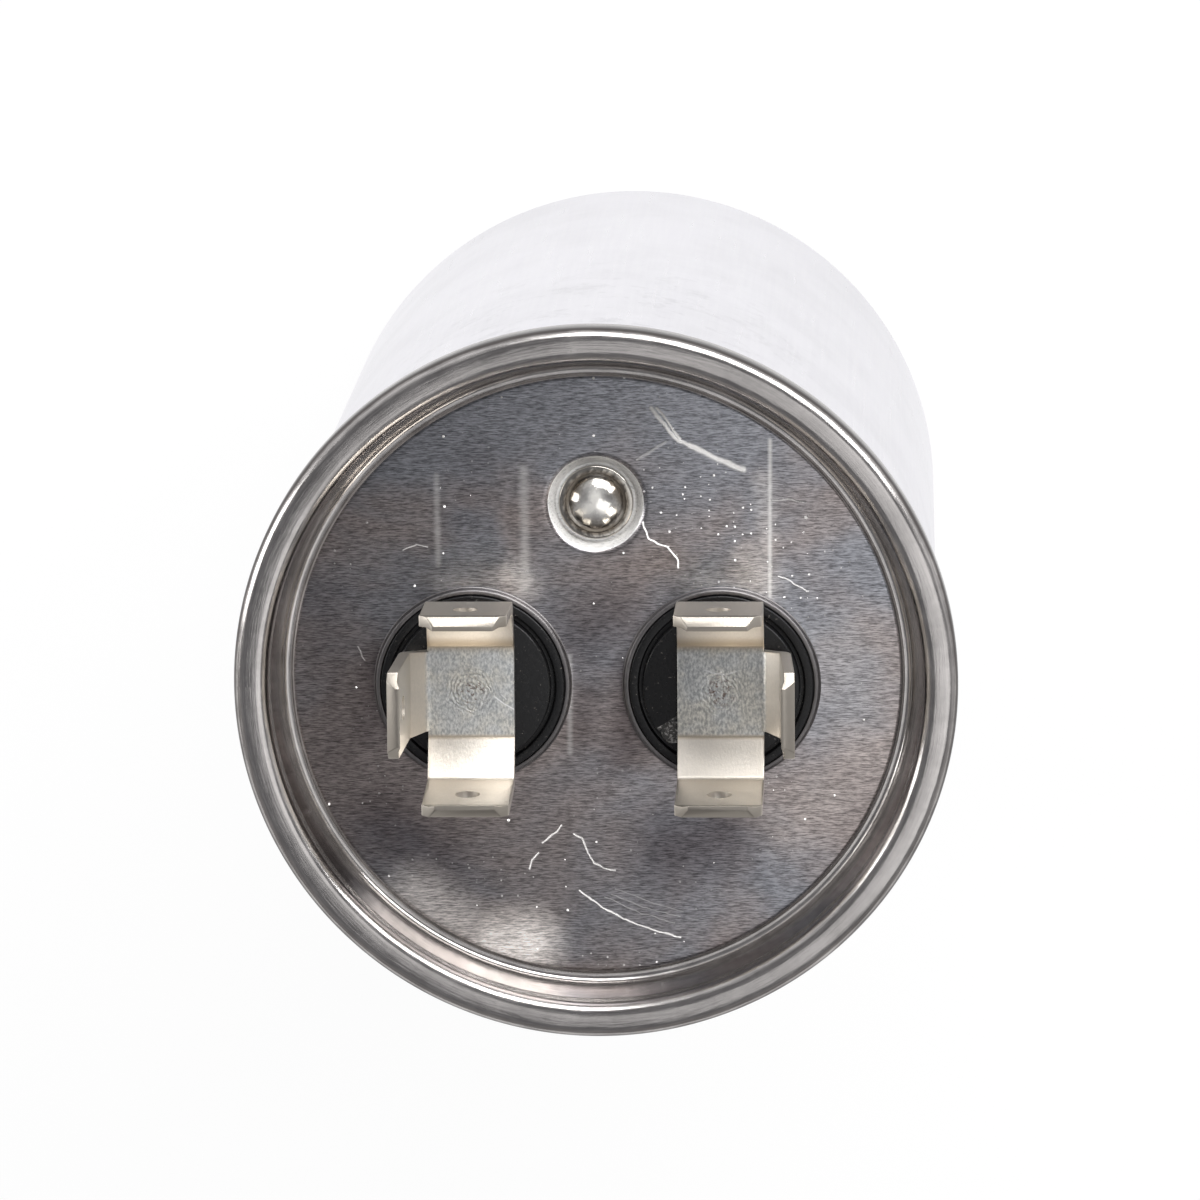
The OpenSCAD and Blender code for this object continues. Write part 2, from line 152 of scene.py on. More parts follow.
def folded(path: Sequence[Sequence[float]], thickness: float, steps: int = 8) -> list[Vector]:
    """Outline of a folded sheet: along one face, then back along the other.

    Args:
        path: One face of the sheet, as for rounded().
        thickness: Thickness of the sheet to the left of the path, or to its right if negative.
        steps: Number of straight pieces in each rounding.

    Returns:
        The outline's points, in millimetres. It is open where the sheet starts.
    """
    face = rounded(path, steps)
    last = len(face) - 1
    other: list[Vector] = []
    for i, p in enumerate(face):
        before = (face[max(i, 1)] - face[max(i, 1) - 1]).normalized().orthogonal()
        after = (face[min(i, last - 1) + 1] - face[min(i, last - 1)]).normalized().orthogonal()
        middle = (before + after).normalized()
        other.append(p + middle * (thickness / middle.dot(after)))
    return face + other[::-1]


# ---------------------------------------------------------------- modelling by hand


def deselect() -> None:
    """Leaves object mode clean: nothing selected, nothing active."""
    if bpy.context.object and bpy.context.object.mode != "OBJECT":
        bpy.ops.object.mode_set(mode="OBJECT")
    bpy.ops.object.select_all(action="DESELECT")


def select_only(piece: bpy.types.Object) -> None:
    """Makes a piece the only selected one, and the active one."""
    deselect()
    piece.select_set(True)
    bpy.context.view_layer.objects.active = piece


def edit(piece: bpy.types.Object, on: bool) -> None:
    """Opens a piece for editing, or closes it again."""
    bpy.context.view_layer.objects.active = piece
    bpy.ops.object.mode_set(mode="EDIT" if on else "OBJECT")


def pick(piece: bpy.types.Object, mode: str, test: Callable[[Vector, Vector], bool]) -> None:
    """Selects the edges or faces of the edited mesh that pass a test, and nothing else.

    Args:
        piece: The object in edit mode.
        mode: "EDGE" or "FACE".
        test: Takes an element's middle in millimetres, and an edge's direction or a face's
            normal, and says whether to select it.
    """
    bpy.ops.mesh.select_mode(type=mode)
    bpy.ops.mesh.select_all(action="DESELECT")
    mesh = bmesh.from_edit_mesh(piece.data)
    mesh.normal_update()
    if mode == "EDGE":
        items = [(edge, (edge.verts[0].co + edge.verts[1].co) / 2,
                  (edge.verts[1].co - edge.verts[0].co).normalized()) for edge in mesh.edges]
    else:
        items = [(face, face.calc_center_median(), face.normal) for face in mesh.faces]
    for item, middle, direction in items:
        if test(middle / MM, direction):
            item.select_set(True)
    mesh.select_flush_mode()
    bmesh.update_edit_mesh(piece.data)


def pick_rim(piece: bpy.types.Object, height: float) -> None:
    """Selects the open edges of the edited mesh that lie at a height.

    Args:
        piece: The object in edit mode.
        height: Height in millimetres.
    """
    bpy.ops.mesh.select_mode(type="EDGE")
    bpy.ops.mesh.select_all(action="DESELECT")
    for edge in bmesh.from_edit_mesh(piece.data).edges:
        at_height = all(abs(vert.co.z / MM - height) < AT_HEIGHT for vert in edge.verts)
        if edge.is_boundary and at_height:
            edge.select_set(True)
    bmesh.update_edit_mesh(piece.data)


def turned(name: str, outline: Sequence[Vector], centre: Point, steps: int,
           closed: bool = False) -> bpy.types.Object:
    """Turns an outline round an upright axis, as on a lathe.

    Args:
        name: Name of the new object.
        outline: (radius, height) points in millimetres.
        centre: X and Y of the axis in millimetres.
        steps: Number of steps round the axis.
        closed: Whether the last point joins the first.

    Returns:
        The new object, at the origin, with outward normals.
    """
    deselect()
    axis_x, axis_y = centre
    first = outline[0]
    bpy.ops.mesh.primitive_plane_add(
        size=SEED * MM, location=((axis_x + first.x) * MM, axis_y * MM, first.y * MM))
    piece = bpy.context.object
    piece.name = piece.data.name = name
    bpy.ops.object.transform_apply(location=True, rotation=True, scale=True)
    edit(piece, True)
    bpy.ops.mesh.select_mode(type="VERT")
    bpy.ops.mesh.select_all(action="SELECT")
    bpy.ops.mesh.merge(type="CENTER")
    route = list(outline) + ([first] if closed else [])
    for here, there in zip(route, route[1:]):
        move = ((there.x - here.x) * MM, 0.0, (there.y - here.y) * MM)
        bpy.ops.mesh.extrude_region_move(TRANSFORM_OT_translate={"value": move})
    bpy.ops.mesh.select_all(action="SELECT")
    bpy.ops.mesh.remove_doubles(threshold=CLOSE)
    bpy.ops.mesh.select_all(action="SELECT")
    bpy.ops.mesh.spin(steps=steps, angle=2 * math.pi, center=(axis_x * MM, axis_y * MM, 0.0),
                      axis=UP)
    bpy.ops.mesh.select_all(action="SELECT")
    bpy.ops.mesh.remove_doubles(threshold=CLOSE)
    bpy.ops.mesh.normals_make_consistent(inside=False)
    edit(piece, False)
    return piece


def apply_modifier(piece: bpy.types.Object, kind: str, **settings: object) -> None:
    """Adds a modifier to a piece and applies it.

    Args:
        piece: The object to finish.
        kind: The modifier's type, such as "BEVEL".
        **settings: The modifier's settings.
    """
    select_only(piece)
    modifier = piece.modifiers.new(kind.title(), kind)
    for key, value in settings.items():
        setattr(modifier, key, value)
    bpy.ops.object.modifier_apply(modifier=modifier.name)


def drill(piece: bpy.types.Object, point: Vector, direction: Vector, diameter: float,
          depth: float) -> None:
    """Drills a round hole through a piece.

    Args:
        piece: The object to drill.
        point: Middle of the hole in millimetres.
        direction: The way that the hole runs.
        diameter: Diameter of the hole in millimetres.
        depth: Length of the drill in millimetres.
    """
    deselect()
    turn = direction.to_track_quat("Z", "Y").to_euler()
    bpy.ops.mesh.primitive_cylinder_add(vertices=HOLE_STEPS, radius=diameter / 2 * MM,
                                        depth=depth * MM, location=point * MM, rotation=turn)
    cutter = bpy.context.object
    apply_modifier(piece, "BOOLEAN", operation="DIFFERENCE", solver="EXACT", object=cutter)
    bpy.data.objects.remove(cutter, do_unlink=True)


def smooth(piece: bpy.types.Object, angle: float) -> None:
    """Shades a piece smooth wherever its faces meet at less than an angle in degrees."""
    select_only(piece)
    bpy.ops.object.shade_smooth_by_angle(angle=math.radians(angle))


def joined(pieces: Sequence[bpy.types.Object], name: str) -> bpy.types.Object:
    """Joins objects into the first of them.

    Args:
        pieces: The objects.
        name: Name of the result.

    Returns:
        The joined object.
    """
    deselect()
    for piece in pieces:
        piece.select_set(True)
    bpy.context.view_layer.objects.active = pieces[0]
    bpy.ops.object.join()
    pieces[0].name = pieces[0].data.name = name
    return pieces[0]


# ---------------------------------------------------------------- materials


@dataclass(frozen=True)
class Grain:
    """A cloudy pattern: its size in millimetres, detail, roughness, distortion and stretch."""

    size: float
    detail: float = 3.0
    roughness: float = 0.5
    distortion: float = 0.0
    stretch: Vector3 = ONE


@dataclass(frozen=True)
class Scratch:
    """One thin line on a level face: its points in millimetres, its width and its strength."""

    route: tuple[Point, ...]
    width: float = 0.12
    strength: float = 1.0


class Tree:
    """A node tree that is built up step by step."""

    def __init__(self, tree: bpy.types.NodeTree) -> None:
        """Takes hold of a tree's nodes and links."""
        self.nodes, self.links = tree.nodes, tree.links

    def node(self, kind: str, **settings: object) -> bpy.types.Node:
        """Adds a node.

        Args:
            kind: The node's type.
            **settings: The node's properties.

        Returns:
            The new node.
        """
        node = self.nodes.new(kind)
        for key, value in settings.items():
            setattr(node, key, value)
        return node

    def feed(self, socket: Socket, value: object) -> None:
        """Links a socket to another one, or sets its value.

        Args:
            socket: The input to feed.
            value: The socket to link, or the value to set.
        """
        if isinstance(value, bpy.types.NodeSocket):
            self.links.new(value, socket)
        else:
            socket.default_value = value

    def step(self, node: bpy.types.Node, inputs: Sequence[object]) -> bpy.types.Node:
        """Feeds a node's inputs in their order and hands the node back."""
        for socket, value in zip(node.inputs, inputs):
            self.feed(socket, value)
        return node

    def math(self, operation: str, *inputs: object, clamp: bool = False) -> Socket:
        """One step of arithmetic on values, kept between 0 and 1 if clamped."""
        node = self.node(MATH_NODE, operation=operation, use_clamp=clamp)
        return self.step(node, inputs).outputs[0]

    def vector(self, operation: str, *inputs: object) -> Socket:
        """One step of arithmetic on vectors, whose result is a vector or a measure."""
        node = self.step(self.node(VECTOR_NODE, operation=operation), inputs)
        return node.outputs[1 if operation in MEASURES else 0]

    def scaled(self, vector: Socket, factor: Socket) -> Socket:
        """Scales a vector or a colour.

        Args:
            vector: What is scaled.
            factor: The factor.

        Returns:
            The product.
        """
        node = self.node(VECTOR_NODE, operation="SCALE")
        self.feed(node.inputs[0], vector)
        self.feed(node.inputs["Scale"], factor)
        return node.outputs[0]

    def times(self, first: object, second: object) -> Socket:
        """The product of two values."""
        return self.math("MULTIPLY", first, second)

    def plus(self, base: Socket, extra: Socket, share: float = 1.0) -> Socket:
        """A value and a share of another one."""
        return self.math("ADD", base, self.times(extra, share))

    def waver(self, base: Socket, pattern: Socket, amount: float) -> Socket:
        """A value that a pattern moves up and down."""
        return self.plus(base, self.math("SUBTRACT", pattern, 0.5), amount)

    def spread(self, value: Socket, low: object, high: object, to_low: object = 0.0,
               to_high: object = 1.0, soft: bool = True) -> Socket:
        """Maps a value's range onto another one.

        Args:
            value: The value.
            low: Where its range starts.
            high: Where its range ends.
            to_low: What the start becomes.
            to_high: What the end becomes.
            soft: Whether the ends of the range are eased.

        Returns:
            The mapped value.
        """
        node = self.node("ShaderNodeMapRange",
                         interpolation_type="SMOOTHSTEP" if soft else "LINEAR")
        names = ("Value", "From Min", "From Max", "To Min", "To Max")
        for name, fed in zip(names, (value, low, high, to_low, to_high)):
            self.feed(node.inputs[name], fed)
        return node.outputs["Result"]

    def blend(self, factor: object, first: object, second: object, mode: str = "MIX") -> Socket:
        """Mixes two colours.

        Args:
            factor: Share of the second colour.
            first: The first colour, as a socket or three numbers.
            second: The second colour, as a socket or three numbers.
            mode: How they are mixed.

        Returns:
            The mixed colour.
        """
        node = self.node("ShaderNodeMix", data_type="RGBA", blend_type=mode)
        self.feed(node.inputs["Factor"], factor)
        for socket, value in ((node.inputs[6], first), (node.inputs[7], second)):
            self.feed(socket, (*value, 1.0) if isinstance(value, tuple) else value)
        return node.outputs[2]

    def axis(self, where: Socket, name: str) -> Socket:
        """One coordinate of a position, by its letter."""
        return self.step(self.node("ShaderNodeSeparateXYZ"), (where,)).outputs[name]


def segment_group() -> bpy.types.NodeTree:
    """The node group that masks one straight piece of a thin line.

    Returns:
        The group, which is built once.
    """
    known = bpy.data.node_groups.get("line_segment")
    if known:
        return known
    group = bpy.data.node_groups.new("line_segment", "ShaderNodeTree")
    for way, kind, names in (("INPUT", "NodeSocketVector", ("Place", "Start", "End")),
                             ("INPUT", "NodeSocketFloat", ("Half Width", "Strength", "Before")),
                             ("OUTPUT", "NodeSocketVector", ("Place",)),
                             ("OUTPUT", "NodeSocketFloat", ("Mask",))):
        for name in names:
            group.interface.new_socket(name, in_out=way, socket_type=kind)
    tree = Tree(group)
    given, result = tree.node("NodeGroupInput").outputs, tree.node("NodeGroupOutput").inputs
    level = tree.vector("MULTIPLY", given["Place"], LEVEL)
    arm = tree.vector("SUBTRACT", level, given["Start"])
    run = tree.vector("SUBTRACT", given["End"], given["Start"])
    ratio = tree.math("DIVIDE", tree.vector("DOT_PRODUCT", arm, run),
                      tree.vector("DOT_PRODUCT", run, run), clamp=True)
    away = tree.vector("DISTANCE", arm, tree.scaled(run, ratio))
    near = tree.spread(away, 0.0, given["Half Width"], given["Strength"], 0.0)
    mask = tree.math("MAXIMUM", near, given["Before"])
    tree.feed(result["Mask"], mask)
    tree.feed(result["Place"], tree.vector("MULTIPLY_ADD", mask, (CLOSE,) * 3, given["Place"]))
    return group


class Recipe(Tree):
    """One material, built up ingredient by ingredient. Lengths are in millimetres."""

    def __init__(self, name: str) -> None:
        """Starts a material with a Principled shader and object coordinates."""
        self.material = bpy.data.materials.new(name)
        self.material.use_nodes = True
        super().__init__(self.material.node_tree)
        self.shader = self.nodes["Principled BSDF"]
        self.position = self.place()

    def place(self, stretch: Vector3 = ONE) -> Socket:
        """Object coordinates in millimetres.

        Args:
            stretch: How much longer the pattern is along each axis.

        Returns:
            The coordinates' socket.
        """
        mapping = self.node("ShaderNodeMapping", vector_type="TEXTURE")
        mapping.inputs["Scale"].default_value = [MM * s for s in stretch]
        self.feed(mapping.inputs["Vector"], self.node("ShaderNodeTexCoord").outputs["Object"])
        return mapping.outputs["Vector"]

    def noise(self, grain: Grain, where: Socket | None = None, output: int = 0) -> Socket:
        """A cloudy pattern.

        Args:
            grain: Its measures.
            where: Coordinates, if not the object's own.
            output: 0 for a value, 1 for a colour.

        Returns:
            The pattern, about 0.5 on average.
        """
        if where is None:
            where = self.position if grain.stretch == ONE else self.place(grain.stretch)
        node = self.node("ShaderNodeTexNoise")
        self.feed(node.inputs["Vector"], where)
        for name, value in (("Scale", 1.0 / grain.size), ("Detail", grain.detail),
                            ("Roughness", grain.roughness), ("Distortion", grain.distortion)):
            node.inputs[name].default_value = value
        return node.outputs[output]

    def bump(self, height: Socket, depth: float, under: Socket | None = None) -> Socket:
        """Raises the surface.

        Args:
            height: The pattern, from 0 to 1.
            depth: How high it stands, in millimetres.
            under: The normal that it stands on, if not the surface's own.

        Returns:
            The new normal.
        """
        node = self.node("ShaderNodeBump")
        for name, value in (("Strength", 1.0), ("Distance", depth * MM), ("Height", height)):
            self.feed(node.inputs[name], value)
        if under is not None:
            self.feed(node.inputs["Normal"], under)
        return node.outputs["Normal"]

    def arm(self, centre: Point = (0.0, 0.0)) -> Socket:
        """Coordinates counted from an upright axis."""
        return self.vector("SUBTRACT", self.position, (*centre, 0.0))

    def radius(self, arm: Socket) -> Socket:
        """Distance from the axis that an arm is counted from."""
        return self.vector("LENGTH", self.vector("MULTIPLY", arm, LEVEL))

    def angle(self, arm: Socket) -> Socket:
        """Angle in radians round the axis that an arm is counted from."""
        return self.math("ARCTAN2", self.axis(arm, "Y"), self.axis(arm, "X"))

    def strokes(self, where: Socket, marks: Sequence[Scratch]) -> Socket:
        """Thin lines on a level surface.

        Each piece of line hands its place on to the next, so that they are worked out one by one.

        Args:
            where: Coordinates in millimetres.
            marks: The lines.

        Returns:
            The strength of the line at the place, 0 away from all of them.
        """
        mask: Socket | float = 0.0
        for mark in marks:
            for start, end in zip(mark.route, mark.route[1:]):
                node = self.node("ShaderNodeGroup")
                node.node_tree = segment_group()
                for name, value in (("Place", where), ("Before", mask), ("Start", (*start, 0.0)),
                                    ("End", (*end, 0.0)), ("Strength", mark.strength),
                                    ("Half Width", mark.width * SOFT_EDGE)):
                    self.feed(node.inputs[name], value)
                where, mask = node.outputs["Place"], node.outputs["Mask"]
        return mask

    def specks(self, spacing: float, size: float, share: float) -> Socket:
        """Small round specks, one at most in each cell.

        Args:
            spacing: Width of a cell.
            size: Radius of the largest speck.
            share: Share of the cells that have a speck.

        Returns:
            1 on a speck, 0 away from it.
        """
        node = self.node("ShaderNodeTexVoronoi", voronoi_dimensions="2D")
        self.feed(node.inputs["Vector"], self.position)
        node.inputs["Scale"].default_value = 1.0 / spacing
        lot = self.axis(node.outputs["Color"], "X")
        reach = self.spread(lot, 1.0 - share, 1.0, 0.0, size / spacing, soft=False)
        inside = self.math("SUBTRACT", reach, node.outputs["Distance"])
        return self.spread(inside, 0.0, SPECK_EDGE * size / spacing)

    def along(self, direction: Vector3, kind: str = "VECTOR") -> Socket:
        """A direction that is fixed to the object, for the shader.

        Args:
            direction: The direction on the object.
            kind: "VECTOR", or "NORMAL" for a normal.

        Returns:
            The direction in the world.
        """
        node = self.node("ShaderNodeVectorTransform", vector_type=kind,
                         convert_from="OBJECT", convert_to="WORLD")
        node.inputs[0].default_value = direction
        return node.outputs[0]

    def lean(self, normal: Socket, share: Socket, direction: Vector3) -> Socket:
        """Leans the normal towards a direction, as the flank of a scratch does.

        Args:
            normal: The surface's normal.
            share: How far it leans, from 0 to 1.
            direction: The direction on the object.

        Returns:
            The new normal.
        """
        node = self.node("ShaderNodeMix", data_type="VECTOR")
        for index, value in ((0, share), (4, normal), (5, self.along(direction, "NORMAL"))):
            self.feed(node.inputs[index], value)
        return self.vector("NORMALIZE", node.outputs[1])

    def finish(self, colour: object, roughness: object, metallic: object = 0.0,
               normal: Socket | None = None, **constants: float) -> bpy.types.Material:
        """Feeds the shader.

        Args:
            colour: Base colour.
            roughness: Roughness, as a socket or a number.
            metallic: 1 for bare metal, as a socket or a number.
            normal: Normal from bump(), if any.
            **constants: Other inputs of the shader, with spaces written as underscores.

        Returns:
            The finished material.
        """
        for name, value in (("Base Color", colour), ("Roughness", roughness),
                            ("Metallic", metallic)):
            self.feed(self.shader.inputs[name], value)
        if normal is not None:
            self.feed(self.shader.inputs["Normal"], normal)
        for key, value in constants.items():
            self.shader.inputs[key.replace("_", " ")].default_value = value
        return self.material


# ---------------------------------------------------------------- finishes


# Marks on the lid's panel: painted light patches, painted shade patches, scratches, dusty areas and
# painted reflection streaks.
# Painted light: soft bright patches of reflected light, near the rim and beside the terminals.
PAINTED_LIGHT_PATCHES = (
    Scratch(((-7.5, -20.6), (-5.5, -20.4)), 5.0, 1.0),
    Scratch(((-13.6, -16.6), (-10.5, -19.0)), 4.4, 0.5),
    Scratch(((-6.0, 7.6), (-5.2, 6.8)), 2.4, 0.3),
    Scratch(((11.4, 8.6), (12.3, 6.6)), 2.8, 0.28),
    Scratch(((12.3, 14.5), (12.6, 9.5)), 1.6, 0.25),
    Scratch(((19.0, 2.0), (19.5, -6.0)), 6.0, 0.12),
    Scratch(((14.0, -11.0), (17.0, -9.0)), 5.5, 0.12),
)
# Painted shade: soft dark patches of shadow and dark reflection beside and below the terminals and
# insulators, and towards the left.
PAINTED_SHADE_PATCHES = (
    Scratch(((-16.0, -11.0), (-12.5, -14.0)), 6.0, 0.6),
    Scratch(((-17.0, -4.0), (-16.4, 1.0)), 3.2, 0.5),
    Scratch(((5.5, -13.0), (9.0, -12.0)), 6.6, 0.7),
    Scratch(((2.0, -5.5), (2.6, 0.5)), 3.6, 0.65),
    Scratch(((-1.5, 3.0), (1.5, 4.5)), 5.6, 0.5),
    Scratch(((-1.2, -4.0), (-0.8, -1.5)), 3.4, 0.45),
    Scratch(((-20.0, 6.0), (-19.0, -6.0)), 4.0, 0.25),
    Scratch(((-9.5, 12.0), (-8.5, 16.0)), 4.0, 0.2),
)
SCRATCHES = (
    Scratch(((4.14, 19.97), (4.70, 19.17), (5.33, 18.37), (6.12, 17.57), (6.91, 17.25)), 0.26, 1.0),
    Scratch(((4.5, 19.98), (5.2, 19.15), (5.7, 18.35), (6.2, 17.7)), 0.18, 0.9),
    Scratch(((6.91, 17.25), (8.16, 16.62), (9.27, 16.06), (10.84, 15.42)), 0.4, 1.0),
    Scratch(((3.05, 16.2), (4.07, 16.84), (5.18, 17.48)), 0.2, 0.3),
    Scratch(((3.46, 11.5), (3.62, 10.85), (3.86, 10.3), (4.49, 9.92), (5.28, 9.65), (5.67, 9.17),
             (5.98, 8.6), (5.98, 8.12)), 0.13, 0.9),
    Scratch(((13.37, 7.52), (14.33, 7.12), (15.42, 6.32)), 0.12, 0.6),
    Scratch(((-2.71, -11.25), (-3.1, -11.77), (-4.17, -12.6)), 0.14, 0.7),
    Scratch(((-4.47, -13.37), (-4.98, -13.9), (-5.17, -14.62)), 0.13, 0.7),
    Scratch(((-1.83, -11.9), (-1.27, -12.3), (-1.02, -12.87), (-0.83, -13.38), (-0.33, -14.15),
             (0.3, -14.55), (1.2, -14.68)), 0.14, 0.7),
    Scratch(((-1.44, -16.25), (0.32, -17.6), (2.21, -18.57), (4.1, -19.28), (5.99, -19.8)),
            0.13, 0.8),
    Scratch(((0.4, -16.7), (3.2, -18.0), (5.6, -18.7)), 0.08, 0.35),
    Scratch(((0.9, -16.5), (3.6, -17.6), (6.0, -18.2)), 0.08, 0.3),
    Scratch(((1.2, -16.1), (4.0, -17.2), (6.2, -17.8)), 0.08, 0.25),
    Scratch(((-14.2, 9.4), (-13.2, 9.9), (-12.4, 9.7)), 0.1, 0.4),
    Scratch(((-17.6, 2.2), (-17.1, 1.2)), 0.1, 0.35),
    Scratch(((12.6, 13.1), (14.1, 13.2), (15.3, 13.0)), 0.12, 0.5),
)
DUSTY = (Scratch(((7.0, 13.0), (13.5, 8.0)), 8.5, 1.0),)
# Painted reflection streaks: faint upright pale lines where the terminals' edges are reflected in the
# grained sheet.
PAINTED_REFLECTION_STREAKS = (
    Scratch(((12.78, 17.6), (12.72, 6.0)), 0.3, 0.6),
    Scratch(((-5.25, 15.5), (-5.2, 6.6)), 0.7, 0.22),
    Scratch(((-11.65, 15.0), (-11.6, 8.4)), 0.45, 0.2),
    Scratch(((-2.0, 1.5), (-2.05, -5.8)), 0.4, 0.22),
)


def darker(colour: Colour, factor: float) -> Colour:
    """A colour times a factor."""
    return tuple(c * factor for c in colour)


@dataclass(frozen=True)
class RolledSheet:
    """Mill-finished aluminium sheet: rolling grain along X, scratches and dust, with painted light,
    painted shade and painted reflection streaks.
    """

    cool: Colour = (0.36, 0.365, 0.395)
    warm: Colour = (0.42, 0.365, 0.35)
    # Colour of the painted light patches.
    glow: Colour = (0.95, 0.88, 0.83)
    # Colour of the painted shade patches.
    shade: Colour = (0.085, 0.068, 0.071)
    # Colour of scratches and dust, and of the painted reflection streaks.
    scratch: Colour = (1.0, 0.98, 0.95)
    grain: Grain = Grain(0.085, 3, 0.7, stretch=(8.0, 1.0, 1.0))
    lines: Grain = Grain(0.35, 3, 0.6, stretch=(60.0, 1.0, 1.0))
    cloud: Grain = Grain(13, 3, 0.5, 0.4, (1.2, 1.0, 1.0))
    waves: Grain = Grain(16, 2, 0.4)
    wander: Grain = Grain(1 / 1.1, 2)
    wander_by: Vector3 = (0.3, 0.3, 0.0)
    cloud_span: Point = (0.38, 0.62)
    grain_span: Point = (0.28, 0.72)
    grain_dark: Colour = (0.4, 0.4, 0.4)
    grain_light: Colour = (1.55, 1.55, 1.55)
    gloss: Point = (0.27, 0.36)
    bare_gloss: float = 0.3
    grain_depth: float = 0.006
    wave_depth: float = 0.12
    mark_depth: float = 0.03
    crown: float = 1400.0
    # Painted light: the colour brightens from left to right across this span.
    lit_span: Point = (-22.0, 22.0)
    lit_share: Point = (0.55, 0.88)
    flank: Vector3 = (0.15, 0.62, 0.77)
    # Share of non-metal under the painted light patches and painted reflection streaks, so that they
    # stay pale.
    haze: float = 0.55
    brushing: float = 0.55
    dust_patch: Grain = Grain(6, 2)
    dust_span: Point = (0.5, 0.7)
    dust_share: float = 0.5
    fine_dust: Vector3 = (0.6, 0.1, 0.4)
    coarse_dust: Vector3 = (2.2, 0.14, 0.25)
    dust_strength: float = 0.9

    def material(self) -> bpy.types.Material:
        """Builds the material of the lid's panel.

        Returns:
            The material.
        """
        mix = Recipe("rolled_sheet")
        grain, lines = mix.noise(self.grain), mix.noise(self.lines)
        # Masks of the painted light patches and of the painted reflection streaks.
        glow, reflection_streaks = mix.strokes(mix.position, PAINTED_LIGHT_PATCHES), mix.strokes(mix.position, PAINTED_REFLECTION_STREAKS)
        marks = mix.strokes(mix.vector("ADD", mix.position, self.wobble(mix)), SCRATCHES)
        bare = mix.math("MAXIMUM", marks, self.dust(mix))
        colour = mix.blend(1.0, self.tone(mix, glow), mix.blend(
            mix.spread(grain, *self.grain_span), self.grain_dark, self.grain_light), "MULTIPLY")
        # Scratches and dust, and the painted reflection streaks, take the pale scratch colour.
        colour = mix.blend(mix.math("MAXIMUM", bare, reflection_streaks), colour, self.scratch)
        roughness = mix.plus(mix.spread(lines, *LINE_SPAN, *self.gloss), bare, self.bare_gloss)
        normal = mix.bump(mix.noise(self.waves), self.wave_depth, mix.bump(self.bulge(mix), 1.0))
        normal = mix.bump(grain, self.grain_depth, normal)
        normal = mix.lean(mix.bump(bare, self.mark_depth, normal), bare, self.flank)
        mix.feed(mix.shader.inputs["Tangent"], mix.along((1.0, 0.0, 0.0)))
        # The painted light patches and painted reflection streaks are partly non-metal, so that they
        # stay pale.
        dull = mix.math("MAXIMUM", bare, mix.times(mix.math("MAXIMUM", glow, reflection_streaks), self.haze))
        metal = mix.math("SUBTRACT", 1.0, dull)
        return mix.finish(colour, roughness, metal, normal, Anisotropic=self.brushing)

    def tone(self, mix: Recipe, glow: Socket) -> Socket:
        """Colour of the sheet before its grain.

        Args:
            mix: The material's recipe.
            glow: Mask of the painted light patches.

        Returns:
            The colour, cloudy, with painted light that brightens it to the right, painted shade
            patches and painted light patches.
        """
        cloud = mix.spread(mix.noise(self.cloud), *self.cloud_span)
        # Painted light that brightens the panel towards the right.
        across = mix.spread(mix.axis(mix.position, "X"), *self.lit_span, *self.lit_share)
        tone = mix.scaled(mix.blend(cloud, self.cool, self.warm), across)
        # The painted shade patches darken the colour.
        tone = mix.blend(mix.strokes(mix.position, PAINTED_SHADE_PATCHES), tone, self.shade)
        # The painted light patches lighten the colour.
        return mix.blend(glow, tone, self.glow)

    def wobble(self, mix: Recipe) -> Socket:
        """Small sideways wander that keeps the scratches from being straight."""
        centred = mix.vector("SUBTRACT", mix.noise(self.wander, output=1), (0.5, 0.5, 0.5))
        return mix.vector("MULTIPLY", centred, self.wander_by)

    def bulge(self, mix: Recipe) -> Socket:
        """Height of the panel's slight crown in millimetres."""
        flat = mix.vector("MULTIPLY", mix.position, LEVEL)
        return mix.math("DIVIDE", mix.vector("DOT_PRODUCT", flat, flat), -self.crown)

    def dust(self, mix: Recipe) -> Socket:
        """Pale dust, thicker on the right of the lid.

        Args:
            mix: The material's recipe.

        Returns:
            The dust's mask.
        """
        patch = mix.spread(mix.noise(self.dust_patch), *self.dust_span, 0.0, self.dust_share)
        patch = mix.math("MAXIMUM", patch, mix.strokes(mix.position, DUSTY))
        fine = mix.times(mix.specks(*self.fine_dust), patch)
        dust = mix.math("MAXIMUM", fine, mix.specks(*self.coarse_dust))
        return mix.times(dust, self.dust_strength)


